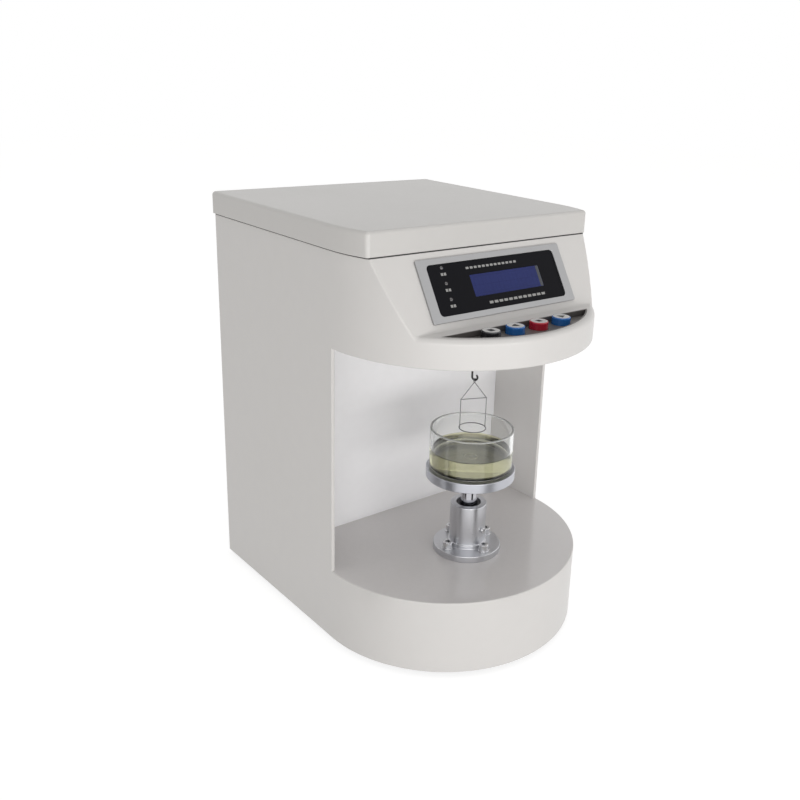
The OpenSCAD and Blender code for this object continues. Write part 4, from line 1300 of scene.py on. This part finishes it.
tip = Matrix.Translation((0, 0, -1.5)) @ Matrix.Rotation(radians(10), 4, "X")
placed(rocker, tip)
pin_place = Matrix.Translation((0, 0, -1.5)) @ Matrix.Rotation(pi / 2, 4, "Y")
add_rod(rocker, 0.78, 11.6, pin_place, 24)
piece("rocker", at_rear(rocker, switch_x), "power_rocker", "rocker_red", rocker_red,
      stands_for=["switch_rocker"])


# Data socket. A nine-way plug in a pressed metal shell with slanted ends, between two threaded posts.
# Its pins stand in a dark insulator.
plated = material(
    "plated_shell", (0.50, 0.50, 0.51), 0.30, metallic=1.0, depth=0.1, size=260, spread=0.15,
    bumps=(1600, 0.6, 0.000005),
)
socket = flat_plate(31, 12.4, 1, 1.5)
shell_wall = flat_plate(16, 8.4, 5, 1.5)
bore = flat_plate(15, 7.4, 5, 1.2, z=0.3)
for part in (shell_wall, bore):
    lower = [vert for vert in part.verts if vert.co.y < 0]
    bmesh.ops.scale(part, vec=(0.86, 1, 1), verts=lower)
cut(socket, shell_wall, operation="UNION")
cut(socket, bore)
softened(socket, 0.2, segments=2, angle=40)
for x in (-12.5, 12.5):
    post = bmesh.new()
    add_rod(post, 2.7, 4.6, Matrix.Translation((x, 0, 3.2)), 6)
    softened(post, 0.25, segments=2, angle=40)
    cut(post, turned_solid([(0, 2), (1.2, 2), (1.2, 7), (0, 7)], 24, Matrix.Translation((x, 0, 0))))
    add_to(socket, post)
contacts = bmesh.new()
for row, count in ((1.4, 5), (-1.4, 4)):
    for i in range(count):
        place = Matrix.Translation(((i - (count - 1) / 2) * 2.75, row, 2.0))
        bmesh.ops.create_cone(
            contacts, cap_ends=True, segments=12, radius1=0.5, radius2=0.4, depth=4, matrix=place
        )
piece("data_shell", at_rear(socket, data_x), "case", "plug_shell", plated, stands_for=["data_socket"])
piece("data_contacts", at_rear(contacts, data_x), "case", "plug_shell", plated)


# Feet and underside. Four soft rubber feet with a sunk screw each stand under a plain zinc-plated sheet.
# The feet are rounded below and a little dusty.
rubber = material(
    "foot_rubber", (0.030, 0.029, 0.028), 0.78, depth=0.35, size=120, spread=0.2,
    bumps=(1100, 0.8, 0.00006),
)
foot_places = ((-75, 98.5), (75, 98.5), (-45, -93.5), (45, -93.5))
feet = bmesh.new()
for x, y in foot_places:
    outline = [(2, 2), (4.5, 2), (4.5, 0.4), (4.9, 0), *arc(9.9, 1.1, 1.1, -90, 0, 4), (11, 4), (2, 4)]
    add_to(feet, turned_solid(outline, 48, Matrix.Translation((x, y, 0))))
piece("rubber_pads", feet, "case", "feet", rubber, stands_for=["rubber_feet"])
sheet_zinc = material(
    "sheet_zinc", (0.50, 0.51, 0.53), 0.38, metallic=1.0, depth=0.16, size=45, spread=0.22,
    bumps=(350, 0.8, 0.000008),
)
repaint("bottom_plate", sheet_zinc)
repaint("foot_screws", zinc)


# Inside. The motor, the balance and the boards keep the shapes they were built in, and only show when the
# case is opened. Each has the finish of its own stuff.
board_green = material(
    "board_green", (0.015, 0.135, 0.055), 0.28, depth=0.35, size=130, spread=0.15,
    bumps=(900, 0.8, 0.00002), Coat_Weight=0.4, Coat_Roughness=0.12,
)
insides = [
    (material(
        "cast_aluminium", (0.46, 0.47, 0.49), 0.52, metallic=1.0, depth=0.18, size=90, spread=0.2,
        bumps=(800, 0.9, 0.00004),
    ), ["balance_frame", "motor_housing", "motor_cap"]),
    (material(
        "bearing_steel", (0.60, 0.60, 0.62), 0.20, metallic=1.0, depth=0.1, size=400, spread=0.12,
        bumps=(2000, 0.6, 0.000004),
    ), ["rotor_bearings", "lift_screw", "stop_screws", "flexure_strips"]),
    (material(
        "milled_beam", (0.62, 0.63, 0.65), 0.32, metallic=1.0, depth=0.08, size=120, spread=0.18,
        bumps=(1400, 0.7, 0.000006),
    ), ["balance_beam", "power_supply"]),
    (material(
        "magnet_nickel", (0.36, 0.35, 0.33), 0.26, metallic=1.0, depth=0.12, size=150, spread=0.15,
        bumps=(900, 0.6, 0.000005),
    ), ["balance_magnet"]),
    (material(
        "wound_copper", (0.58, 0.20, 0.075), 0.34, metallic=1.0, depth=0.3, size=700, spread=0.2,
        bumps=(2600, 0.4, 0.00003),
    ), ["motor_stator", "balance_coil"]),
    (material(
        "brass", (0.62, 0.42, 0.13), 0.26, metallic=1.0, depth=0.12, size=260, spread=0.16,
        bumps=(1700, 0.6, 0.000005),
    ), ["rotor_nut", "board_spacers"]),
    (board_green, ["display_board", "button_board", "main_board", "motor_driver"]),
    (moulded_black, ["button_switches"]),
]
for finish, nodes in insides:
    for node in nodes:
        repaint(node, finish)
